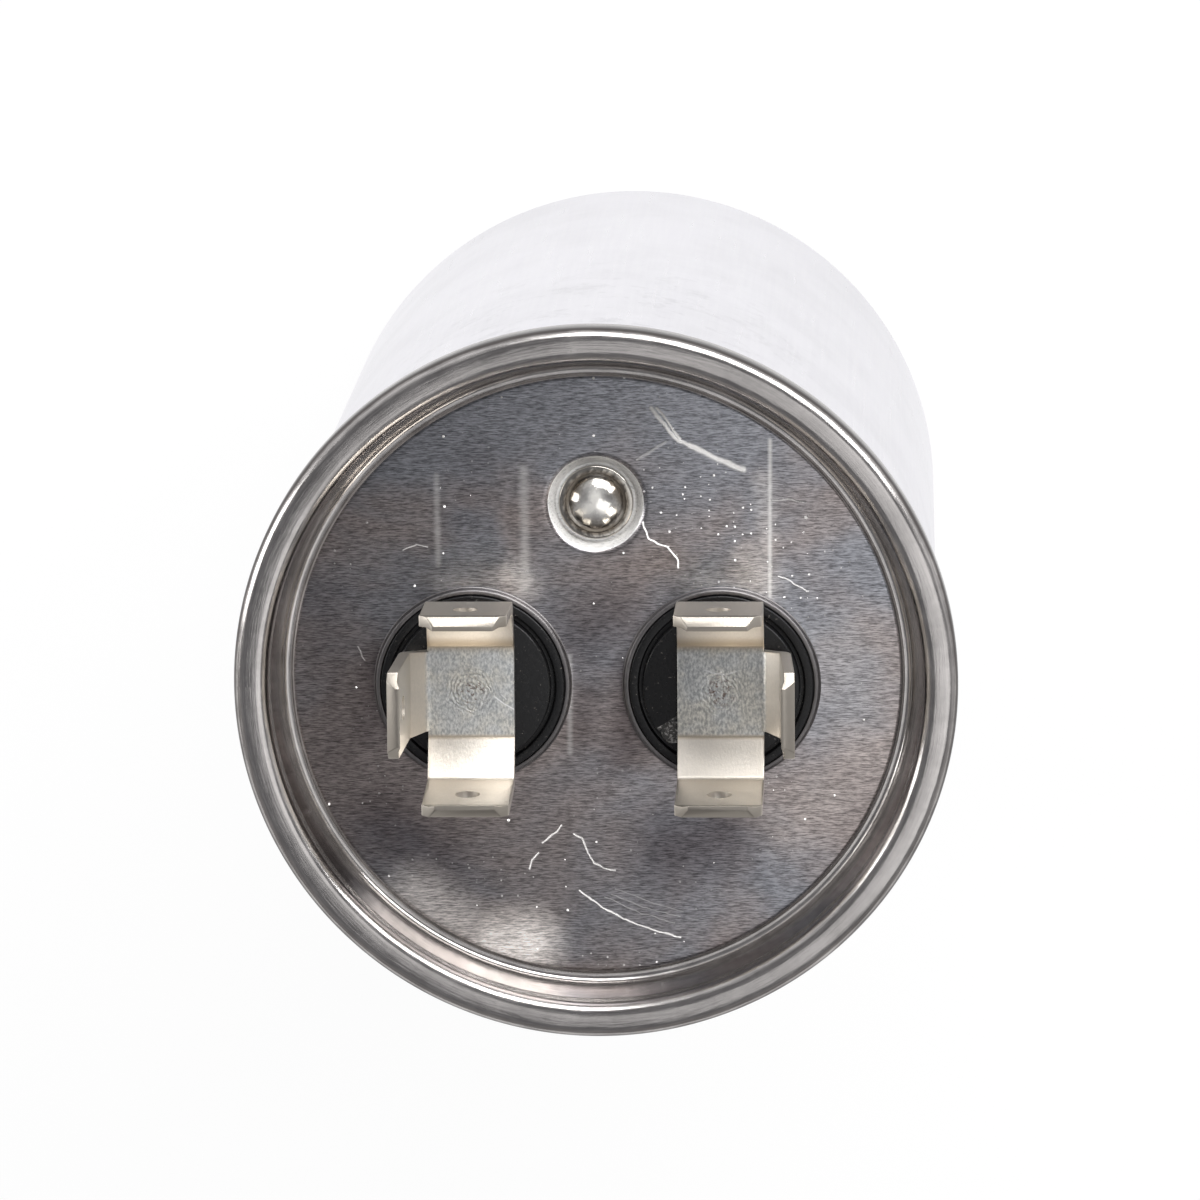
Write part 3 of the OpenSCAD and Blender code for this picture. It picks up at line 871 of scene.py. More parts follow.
@dataclass(frozen=True)
class WorkedRim:
    """The same sheet where the seaming rollers have burnished it, with fine lines round the rim."""

    name: str = "worked_rim"
    tint: Colour = (0.54, 0.515, 0.5)
    gloss: float = 0.19
    haze: float = 0.0
    gloss_swing: Point = (-0.03, 0.08)
    # Colour towards which the rim darkens on its outer side, more so near its top.
    edge_dark: Colour = (0.1, 0.09, 0.088)
    lay: float = 1.5
    lines: Grain = Grain(0.12, 3, 0.6)
    cloud: Grain = Grain(4, 4, 0.65)
    cloud_span: Point = (0.35, 0.7)
    cloud_dark: float = 0.8
    line_dark: Colour = (0.75, 0.75, 0.75)
    line_light: Colour = (1.1, 1.1, 1.1)
    line_share: float = 0.6
    line_depth: float = 0.006
    edge_r: float = 26.3
    edge_waver: float = 0.25
    edge_soft: Point = (-0.12, 0.1)
    darkening_z: Point = (80.2, 81.6)
    darkening_share: Point = (0.25, 1.0)
    darkening_gloss: float = 0.15
    brushing: float = 0.35

    def material(self) -> bpy.types.Material:
        """Builds the material of the lid's rim.

        Returns:
            The material.
        """
        mix = Recipe(self.name)
        arm = mix.arm()
        radius = mix.radius(arm)
        place = mix.node("ShaderNodeCombineXYZ")
        mix.step(place, (radius, mix.axis(arm, "Z"), mix.times(mix.angle(arm), self.lay)))
        lines = mix.noise(self.lines, place.outputs[0])
        cloud = mix.noise(self.cloud)
        tone = mix.blend(mix.spread(cloud, *self.cloud_span), self.tint,
                         darker(self.tint, self.cloud_dark))
        lined = mix.blend(mix.spread(lines, *LINE_SPAN), self.line_dark, self.line_light)
        tone = mix.blend(self.line_share, tone, lined, "MULTIPLY")
        edge = mix.waver(radius, cloud, self.edge_waver)
        height = mix.plus(mix.axis(mix.position, "Z"), cloud)
        # Darker on the outer side of the rim, more so near its top.
        edge_darkening = mix.times(mix.spread(edge, *(self.edge_r + soft for soft in self.edge_soft)),
                         mix.spread(height, *self.darkening_z, *self.darkening_share))
        gloss = (self.gloss + swing for swing in self.gloss_swing)
        roughness = mix.plus(mix.spread(lines, *LINE_SPAN, *gloss), edge_darkening, self.darkening_gloss)
        mix.feed(mix.shader.inputs["Tangent"], mix.vector("CROSS_PRODUCT", UP, mix.position))
        return mix.finish(mix.blend(edge_darkening, tone, self.edge_dark), roughness, 1.0 - self.haze,
                          mix.bump(lines, self.line_depth), Anisotropic=self.brushing)


@dataclass(frozen=True)
class DrawnCan:
    """Deep-drawn aluminium with faint lines along the wall, and handled at the back."""

    tint: Colour = (0.84, 0.83, 0.87)
    lines: Grain = Grain(0.35, 4, 0.6, stretch=(1.0, 1.0, 40.0))
    line_span: Point = (0.2, 0.8)
    line_depth: float = 0.003
    gloss: Point = (0.26, 0.38)
    cloud: Grain = Grain(9, 4, 0.6)
    cloud_span: Point = (0.35, 0.75)
    cloud_dark: float = 0.93
    smudge: Grain = Grain(3.2, 5, 0.75)
    smudge_span: Point = (0.5, 0.68)
    smudge_share: float = 0.5
    smudge_dark: float = 0.72
    handled_z: Point = (30.0, 60.0)
    handled_y: Point = (15.0, 25.0)
    brushing: float = 0.3

    def material(self) -> bpy.types.Material:
        """Builds the material of the can.

        Returns:
            The material.
        """
        mix = Recipe("drawn_can")
        lines = mix.noise(self.lines)
        colour = mix.blend(mix.spread(mix.noise(self.cloud), *self.cloud_span), self.tint,
                           darker(self.tint, self.cloud_dark))
        smudge = mix.spread(mix.noise(self.smudge), *self.smudge_span, 0.0, self.smudge_share)
        handled = mix.times(mix.spread(mix.axis(mix.position, "Z"), *self.handled_z),
                            mix.spread(mix.axis(mix.position, "Y"), *self.handled_y))
        colour = mix.blend(mix.times(smudge, handled), colour,
                           darker(self.tint, self.smudge_dark))
        return mix.finish(colour, mix.spread(lines, *self.line_span, *self.gloss), 1.0,
                          mix.bump(lines, self.line_depth), Anisotropic=self.brushing)


@dataclass(frozen=True)
class TinPlate:
    """Tin-plated strip: frosted and speckled on the welded plate, satin and warmer on the arms."""

    centre: Point
    marks: tuple[Scratch, ...] = ()
    plate: Colour = (0.52, 0.525, 0.525)
    patch: Colour = (0.57, 0.555, 0.52)
    arms: Colour = (0.74, 0.69, 0.62)
    tip: Colour = (0.34, 0.31, 0.27)
    stain: Colour = (0.16, 0.11, 0.09)
    # Colour of the painted shade along the bends between the plate and the end arms.
    crease: Colour = (0.34, 0.25, 0.14)
    mark: Colour = (0.95, 0.95, 0.95)
    crease_shades: tuple[Scratch, ...] = (Scratch(((-3.1, 3.55), (3.1, 3.55)), 1.0, 0.65),
                                    Scratch(((-3.1, -3.4), (3.1, -3.4)), 0.3, 0.5))
    half: float = 3.2
    half_soft: Point = (-0.1, 0.25)
    speckle: Grain = Grain(0.16, 3, 0.65, stretch=(1.0, 1.8, 1.0))
    speckle_span: Point = (0.25, 0.75)
    speckle_depth: float = 0.012
    freckle_dark: Colour = (0.6, 0.62, 0.64)
    freckle_light: Colour = (1.4, 1.4, 1.37)
    freckle_arms: float = 0.12
    freckle_share: float = 0.75
    cloud: Grain = Grain(1.9)
    cloud_span: Point = (0.35, 0.65)
    weld_r: float = 2.3
    weld_pitch: float = 19.0
    weld_depth: float = 0.012
    warp: Grain = Grain(0.9, 3, 0.6)
    warp_by: float = 1.1
    burn: Grain = Grain(0.3, 3, 0.7)
    burn_span: Point = (0.53, 0.62)
    burn_r: Point = (0.5, 1.5)
    burn_share: float = 0.9
    tip_z: float = 88.7
    tip_soft: float = 0.25
    tip_share: float = 0.9
    gloss: Point = (0.38, 0.46)
    plate_gloss: float = 0.06

    def material(self, name: str) -> bpy.types.Material:
        """Builds the material of a terminal.

        Args:
            name: The material's name.

        Returns:
            The material.
        """
        mix = Recipe(name)
        arm = mix.arm(self.centre)
        flat = mix.vector("ABSOLUTE", arm)
        reach = mix.math("MAXIMUM", mix.axis(flat, "X"), mix.axis(flat, "Y"))
        plate = mix.spread(reach, *(self.half + soft for soft in self.half_soft), 1.0, 0.0)
        radius = mix.radius(arm)
        speckle = mix.noise(self.speckle)
        colour = mix.blend(plate, self.arms, mix.blend(
            mix.spread(mix.noise(self.cloud), *self.cloud_span), self.plate, self.patch))
        freckle = mix.blend(mix.spread(speckle, *LINE_SPAN), self.freckle_dark, self.freckle_light)
        freckled = mix.times(mix.math("ADD", plate, self.freckle_arms), self.freckle_share)
        colour = mix.blend(freckled, colour, mix.blend(1.0, colour, freckle, "MULTIPLY"))
        # Painted shade along the bends between the plate and the end arms.
        colour = mix.blend(mix.strokes(arm, self.crease_shades), colour, self.crease)
        colour = mix.blend(mix.spread(mix.axis(mix.position, "Z"), self.tip_z,
                                      self.tip_z + self.tip_soft, 0.0, self.tip_share),
                           colour, self.tip)
        burn = mix.times(mix.spread(mix.noise(self.burn), *self.burn_span),
                         mix.spread(radius, *self.burn_r, self.burn_share, 0.0))
        colour = mix.blend(mix.times(burn, plate), colour, self.stain)
        colour = mix.blend(mix.strokes(arm, self.marks), colour, self.mark)
        roughness = mix.plus(mix.spread(speckle, *self.speckle_span, *self.gloss),
                             plate, self.plate_gloss)
        warped = mix.plus(radius, mix.noise(self.warp), self.warp_by)
        rings = mix.math("SINE", mix.times(warped, self.weld_pitch))
        weld = mix.times(mix.spread(radius, self.weld_r * 0.5, self.weld_r, 1.0, 0.0), plate)
        normal = mix.bump(mix.times(rings, weld), self.weld_depth,
                          mix.bump(speckle, self.speckle_depth))
        return mix.finish(colour, roughness, 1.0, normal)


@dataclass(frozen=True)
class PolishedNickel:
    """Bright nickel plate of the filler plug."""

    centre: Point
    tint: Colour = (0.95, 0.93, 0.88)
    # Colour of the painted dark reflection towards the dome's edge.
    dark_reflection_tint: Colour = (0.10, 0.075, 0.05)
    bright_r: float = 1.0
    dark_r: float = 2.1
    lobes: float = 3.0
    lobe_depth: float = 0.3
    stain: Grain = Grain(0.3, 4, 0.7)
    stain_by: float = 0.8
    stain_span: Point = (0.3, 0.8)
    fade_r: Point = (2.3, 2.6)
    fade_share: Point = (0.9, 0.6)
    ripple: Grain = Grain(0.8, 2)
    ripple_depth: float = 0.03
    gloss: Point = (0.1, 0.24)
    clear_r: Point = (0.4, 1.4)
    # Share of non-metal in the dome's middle, where a pale painted highlight stands.
    haze: float = 0.45

    def material(self) -> bpy.types.Material:
        """Builds the material of the filler plug, with a painted highlight in the dome's middle and a
        painted dark reflection towards its edge.

        Returns:
            The material.
        """
        mix = Recipe("polished_nickel")
        stain = mix.noise(self.stain)
        arm = mix.arm(self.centre)
        radius = mix.radius(arm)
        lobes = mix.math("SINE", mix.times(mix.angle(arm), self.lobes))
        edge = mix.waver(mix.plus(radius, lobes, self.lobe_depth), stain, self.stain_by)
        # Painted reflection of the dark surroundings, growing from the dome's middle out to its edge.
        dark = mix.times(mix.spread(edge, self.bright_r, self.dark_r),
                         mix.spread(radius, *self.fade_r, *self.fade_share))
        # The dome's middle is partly non-metal, so that its painted highlight stays pale.
        metal = mix.spread(edge, *self.clear_r, 1.0 - self.haze, 1.0)
        return mix.finish(mix.blend(dark, self.tint, self.dark_reflection_tint),
                          mix.spread(stain, *self.stain_span, *self.gloss), metal,
                          mix.bump(mix.noise(self.ripple), self.ripple_depth))


@dataclass(frozen=True)
class MouldedBlack:
    """Semi-matt black moulding."""

    name: str = "moulded_black"
    tint: Colour = (0.006, 0.006, 0.0065)
    dust: Colour = (0.12, 0.11, 0.1)
    speck: float = 0.66
    speck_soft: float = 0.08
    specks: Grain = Grain(0.3, 2, 0.8)
    skin: Grain = Grain(0.25, 3, 0.6)
    skin_depth: float = 0.012
    gloss: Point = (0.26, 0.4)
    shine: float = 0.3

    def material(self) -> bpy.types.Material:
        """Builds the material of the insulators.

        Returns:
            The material.
        """
        mix = Recipe(self.name)
        skin = mix.noise(self.skin)
        dust = mix.spread(mix.noise(self.specks), self.speck, self.speck + self.speck_soft)
        return mix.finish(mix.blend(dust, self.tint, self.dust),
                          mix.spread(skin, *LINE_SPAN, *self.gloss), 0.0,
                          mix.bump(skin, self.skin_depth), Specular_IOR_Level=self.shine)


@dataclass(frozen=True)
class HiddenFinish:
    """A finish of a piece inside the can: its colour, its mottling, its gloss and its grain."""

    name: str
    tint: Colour
    shade: Colour
    gloss: float
    metallic: float = 0.0
    grain: Vector3 = ONE
    grain_size: float = 0.4
    grain_depth: float = 0.01
    cloud: Grain = Grain(5, 3, 0.6)
    mottle_span: Point = (0.15, 0.4)
    grain_span: Point = (0.25, 0.75)
    gloss_swing: Point = (-0.06, 0.08)

    def material(self) -> bpy.types.Material:
        """Builds the material.

        Returns:
            The material.
        """
        mix = Recipe(self.name)
        grain = mix.noise(Grain(self.grain_size, 4, 0.6, stretch=self.grain))
        mottle = mix.spread(mix.times(mix.noise(self.cloud), grain), *self.mottle_span)
        gloss = (self.gloss + swing for swing in self.gloss_swing)
        roughness = mix.spread(grain, *self.grain_span, *gloss)
        return mix.finish(mix.blend(mottle, self.shade, self.tint), roughness, self.metallic,
                          mix.bump(grain, self.grain_depth))


PLATE_MARKS = {
    Side.LEFT: (Scratch(((1.75, -0.4), (2.4, -0.9), (3.1, -1.3)), 0.1, 0.8),
                Scratch(((2.2, -0.2), (2.6, -0.6)), 0.08, 0.5)),
    Side.RIGHT: (Scratch(((-1.1, 1.6), (-0.4, 1.35), (0.5, 1.3), (1.1, 1.5)), 0.14, 0.5),
                 Scratch(((0.05, 1.5), (0.2, 0.9)), 0.16, 0.6)),
}

# Copies of the rim's finish that paint light: a dark one that paints shade on the collars, and a
# near-white, partly non-metal one that paints a highlight on the plug's seat.
COLLAR_PAINTED_SHADE = WorkedRim("collar_painted_shade", (0.2, 0.19, 0.19), 0.42)
PLUG_SEAT_PAINTED_LIGHT = WorkedRim("plug_seat_painted_light", (1.0, 0.99, 0.97), 0.3, 0.6)
TORN_GATE = MouldedBlack("torn_gate", (0.05, 0.048, 0.046), (0.3, 0.29, 0.28), 0.5)


# ---------------------------------------------------------------- the capacitor's pieces


@dataclass
class Levels:
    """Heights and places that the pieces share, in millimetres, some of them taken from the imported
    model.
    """

    top: float = field(default_factory=lambda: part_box("lid")[1].z / MM)
    rim_r: float = field(default_factory=lambda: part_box("lid")[1].x / MM)
    cup_to_wall: float = 0.7
    panel_drop: float = 4.0
    lid_t: float = 0.45
    can_t: float = 0.5
    seam_h: float = 3.2
    neck_in: float = 0.05
    gap: float = 0.05
    seat_depth: float = 0.9
    plug: Point = field(default_factory=lambda: centre_of("filler_plug"))

    @property
    def wall_r(self) -> float:
        """Outer radius of the can's wall."""
        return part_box("bottom_cup")[1].x / MM + self.cup_to_wall

    @property
    def neck_r(self) -> float:
        """Outer radius of the can's neck, under the seam."""
        return self.wall_r - self.neck_in

    @property
    def seam_foot(self) -> float:
        """Height of the seam's lower edge."""
        return self.top - self.seam_h

    @property
    def panel(self) -> float:
        """Height of the lid's panel."""
        return self.top - self.panel_drop

    @property
    def under(self) -> float:
        """Height of the panel's underside."""
        return self.panel - self.lid_t

    def terminal(self, side: Side) -> Point:
        """X and Y of a terminal's stud."""
        return centre_of(f"stud_{side.word}")


def centre_of(node: str) -> Point:
    """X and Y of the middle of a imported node, in millimetres."""
    low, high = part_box(node)
    return ((low.x + high.x) / 2 / MM, (low.y + high.y) / 2 / MM)


def settle(piece: bpy.types.Object, nodes: Sequence[str],
           angle: float = SMOOTH_ANGLE) -> bpy.types.Object:
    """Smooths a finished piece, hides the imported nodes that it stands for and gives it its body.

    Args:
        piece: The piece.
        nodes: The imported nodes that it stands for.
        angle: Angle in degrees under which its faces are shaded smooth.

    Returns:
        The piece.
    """
    smooth(piece, angle)
    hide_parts(*nodes)
    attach(piece, BODY)
    log.info("%s: %d faces", piece.name, len(piece.data.polygons))
    return piece


@dataclass
class CanShell:
    """The drawn can with its rounded foot, and its flange hooked into the seam."""

    levels: Levels
    foot_r: float = 1.8
    neck_taper: float = 0.6
    hook_out: float = 0.55
    hook_r: float = 0.265
    hook_end: float = 2.5

    def build(self) -> bpy.types.Object:
        """Turns the can's wall, base and flange."""
        lv = self.levels
        hook_top = lv.top - lv.lid_t - lv.gap - lv.can_t
        hook_r = lv.neck_r + self.hook_out
        outline = folded([
            (0, 0),
            (lv.wall_r, 0, self.foot_r),
            (lv.wall_r, lv.seam_foot),
            (lv.neck_r, lv.seam_foot + self.neck_taper),
            (lv.neck_r, hook_top, self.hook_r),
            (hook_r, hook_top, self.hook_r),
            (hook_r, lv.top - self.hook_end),
        ], lv.can_t)
        return settle(turned("can_shell", outline, (0.0, 0.0), CAN_STEPS), ["can"])

    def dress(self, can: bpy.types.Object) -> None:
        """Gives the can its drawn finish."""
        can.data.materials.append(DrawnCan().material())


@dataclass
class Lid:
    """The pressed lid: panel, groove, wall and rolled rim, two collars and the plug's seat."""

    levels: Levels
    groove_depth: float = 0.25
    groove_w: float = 0.75
    slope_run: float = 0.85
    upright_h: float = 1.5
    crest_r: float = 0.9
    hem_r: float = 0.7
    hook_overlap: float = 0.9
    insulator_r: float = 6.75
    collar_h: float = 0.55
    collar_t: float = 0.3
    collar_lip: float = 0.1
    collar_flat: float = 0.15
    collar_finish: float = 0.1
    dish_r: float = 3.55
    dish_floor_r: float = 3.0
    stem_r: float = 1.35
    flat_margin: float = 0.25
    rim_flat: Point = (1.2, 0.8)

    @property
    def upright_r(self) -> float:
        """Inner radius of the lid's upright wall."""
        lv = self.levels
        return lv.neck_r - lv.can_t - lv.gap - lv.lid_t

    @property
    def groove_in(self) -> float:
        """Radius where the panel's groove begins."""
        return self.upright_r - self.slope_run - self.groove_w

    @property
    def collar_out(self) -> float:
        """Outer radius of a collar."""
        return self.insulator_r + self.levels.gap + self.collar_lip + self.collar_t

    def rim(self) -> bpy.types.Object:
        """Turns the groove, the wall and the rolled rim.

        Returns:
            The ring, open towards the panel.
        """
        lv, upright_r, groove_in = self.levels, self.upright_r, self.groove_in
        groove_out = upright_r - self.slope_run
        hook_r = lv.neck_r + lv.gap
        outline = folded([
            *((groove_in - flat, lv.panel) for flat in self.rim_flat),
            (groove_in, lv.panel, lv.lid_t * 1.1),
            (groove_in + self.groove_depth, lv.panel - self.groove_depth, self.groove_depth / 2),
            (groove_out, lv.panel - self.groove_depth, lv.lid_t),
            (upright_r, lv.top - self.upright_h - self.crest_r / 2, lv.lid_t),
            (upright_r, lv.top, self.crest_r),
            (lv.rim_r, lv.top, self.crest_r),
            (lv.rim_r, lv.seam_foot, self.hem_r),
            (hook_r, lv.seam_foot, self.hem_r),
            (hook_r, lv.seam_foot + self.hem_r + self.hook_overlap),
        ], -lv.lid_t, steps=12)
        return turned("lid_panel", outline, (0.0, 0.0), RIM_STEPS)

    def collar(self, side: Side) -> bpy.types.Object:
        """Turns the drawn collar that is rolled in over an insulator's shoulder.

        Args:
            side: The terminal's side.

        Returns:
            The collar, open towards the panel.
        """
        lv, outer = self.levels, self.collar_out
        bore = outer - self.collar_t
        flat = outer + 2 * self.collar_t + self.flat_margin
        top = lv.panel + self.collar_h
        outline = rounded([
            (flat, lv.panel),
            (flat - self.collar_flat, lv.panel),
            (outer, lv.panel, self.collar_t * 0.6),
            (outer, top, self.collar_t * 0.7),
            (bore - self.collar_lip, top, self.collar_t * 0.3),
            (bore - self.collar_lip, top - self.collar_t),
            (bore, top - self.collar_t),
            (bore, lv.under, self.collar_t * 0.3),
            (flat, lv.under),
        ])
        return turned(f"collar_{side.word}", outline, lv.terminal(side), SMALL_STEPS)

    def dish(self) -> bpy.types.Object:
        """Turns the dished seat of the filler plug.

        Returns:
            The seat, open towards the panel.
        """
        lv = self.levels
        floor = lv.panel - lv.seat_depth
        brim = self.dish_r + lv.seat_depth
        outline = folded([
            (brim + self.flat_margin, lv.panel),
            (brim, lv.panel),
            (self.dish_r, lv.panel, lv.lid_t * 1.5),
            (self.dish_floor_r, floor, lv.lid_t / 2),
            (self.stem_r, floor),
        ], lv.lid_t)
        return turned("dish", outline, lv.plug, SMALL_STEPS)

    def build(self) -> bpy.types.Object:
        """Turns the parts of the lid and fills the flat panel between them.

        Returns:
            The lid.
        """
        lid = joined([self.rim(), *(self.collar(side) for side in Side), self.dish()], "lid_panel")
        select_only(lid)
        edit(lid, True)
        for height in (self.levels.panel, self.levels.under):
            pick_rim(lid, height)
            bpy.ops.mesh.fill(use_beauty=True)
        bpy.ops.mesh.select_all(action="SELECT")
        bpy.ops.mesh.normals_make_consistent(inside=False)
        edit(lid, False)
        return settle(lid, ["lid"])

    def dress(self, lid: bpy.types.Object) -> None:
        """Gives the panel its rolled finish, the rim its worked finish, the collars a darker copy of
        it with painted shade and the seat a near-white copy with painted highlight.

        Args:
            lid: The lid.
        """
        for finish in (RolledSheet(), WorkedRim(), COLLAR_PAINTED_SHADE, PLUG_SEAT_PAINTED_LIGHT):
            lid.data.materials.append(finish.material())
        groove, collar = self.groove_in, self.collar_out + self.collar_finish
        terminals = [Vector(self.levels.terminal(side)) for side in Side]
        plug = Vector(self.levels.plug)
        for face in lid.data.polygons:
            spot = Vector(face.center.xy) / MM
            if spot.length > groove:
                face.material_index = 1
            elif any((spot - terminal).length < collar for terminal in terminals):
                # Painted shade on the collars.
                face.material_index = 2
            elif (spot - plug).length < self.dish_r:
                # Painted highlight on the plug's seat.
                face.material_index = 3


@dataclass
class Insulator:
    """A moulded insulator with its raised disc, moat and outer ring, clamped under the lid."""

    levels: Levels
    side: Side
    shoulder_r: float = 6.85
    disc_r: float = 5.75
    moat_w: float = 0.35
    moat_depth: float = 0.4
    ring_rise: float = 0.75
    disc_rise: float = 0.6
    flange_r: float = 8.4
    flange_t: float = 1.4
    gasket_t: float = 0.8
    collar_edge: float = 0.25
    neck_r: float = 6.75
    bore_r: float = 1.55
    gate_r: float = 0.85
    gate_depth: float = 0.15
    gate_stub_r: float = 0.4
    gate_at: Point = (-3.55, -3.3)
    flange_round: float = 0.15
    ring_round: float = 0.12
    moat_round: float = 0.08
    disc_round: float = 0.14

    @property
    def gate_spot(self) -> Vector:
        """X and Y of the gate's mark."""
        return Vector(self.levels.terminal(self.side)) + Vector(self.gate_at)

    def build(self) -> bpy.types.Object:
        """Turns the insulator and presses the gate's mark into the right one's disc.

        Returns:
            The insulator.
        """
        lv = self.levels
        ring = lv.panel + self.ring_rise
        disc = ring + self.disc_rise
        gasket = lv.under - self.gasket_t
        base = gasket - self.flange_t
        shoulder = lv.panel + self.collar_edge - lv.gap
        moat_r = self.disc_r + self.moat_w
        outline = rounded([
            (self.bore_r, base),
            (self.flange_r, base, self.flange_round),
            (self.flange_r, gasket, self.flange_round),
            (self.shoulder_r, gasket),
            (self.shoulder_r, shoulder),
            (self.neck_r, shoulder),
            (self.neck_r, ring, self.ring_round),
            (moat_r, ring, self.ring_round),
            (moat_r, ring - self.moat_depth, self.moat_round),
            (self.disc_r, ring - self.moat_depth, self.moat_round),
            (self.disc_r, disc, self.disc_round),
            (self.bore_r, disc),
        ], 6)
        name = f"insulator_body_{self.side.word}"
        body = turned(name, outline, lv.terminal(self.side), INSULATOR_STEPS, closed=True)
        if self.side is Side.RIGHT:
            body = self.press_gate(body, name, disc)
        return settle(body, [f"insulator_{self.side.word}"])

    def press_gate(self, body: bpy.types.Object, name: str, top: float) -> bpy.types.Object:
        """Sinks the round gate mark into the disc and leaves the gate's stub in it.

        Args:
            body: The insulator.
            name: The insulator's name.
            top: Height of the disc's face.

        Returns:
            The insulator with its mark.
        """
        spot = self.gate_spot
        drill(body, Vector((*spot, top)), Vector(UP), 2 * self.gate_r, 2 * self.gate_depth)
        stub_top, stub_foot = top - self.gate_depth / 4, top - 1.3 * self.gate_depth
        stub = turned("gate_stub", rounded([
            (0, stub_foot),
            (self.gate_stub_r, stub_foot),
            (self.gate_stub_r, stub_top, self.gate_depth / 3),
            (0, stub_top),
        ]), tuple(spot), STUB_STEPS)
        return joined([body, stub], name)

    def dress(self, body: bpy.types.Object, moulded: bpy.types.Material,
              torn: bpy.types.Material) -> None:
        """Gives the insulator its moulded finish, and the gate's mark its torn one.

        Args:
            body: The insulator.
            moulded: Its finish.
            torn: The finish of the mark.
        """
        body.data.materials.append(moulded)
        body.data.materials.append(torn)
        if self.side is Side.RIGHT:
            spot, reach = self.gate_spot * MM, (self.gate_r + CLOSE) * MM
            for face in body.data.polygons:
                if (face.center.xy - spot).length < reach:
                    face.material_index = 1


@dataclass(frozen=True)
class Limb:
    """One limb of a terminal: its direction and lean in degrees, its reach and its arm's run."""

    angle: float
    reach: float
    run: float
    lean: float

    @property
    def heading(self) -> Vector:
        """Horizontal direction of the limb."""
        angle = math.radians(self.angle)
        return Vector((round(math.cos(angle)), round(math.sin(angle)), 0))

    @property
    def along(self) -> Vector:
        """Direction of its blade, as (distance, height)."""
        return Vector((math.sin(math.radians(self.lean)), math.cos(math.radians(self.lean))))

    @property
    def is_side(self) -> bool:
        """Whether it is the side limb."""
        return abs(self.heading.x) > 0.5

    def point(self, flat: Vector) -> Vector:
        """Turns (distance, height) into a place or a direction."""
        return self.heading * flat.x + Vector((0, 0, flat.y))


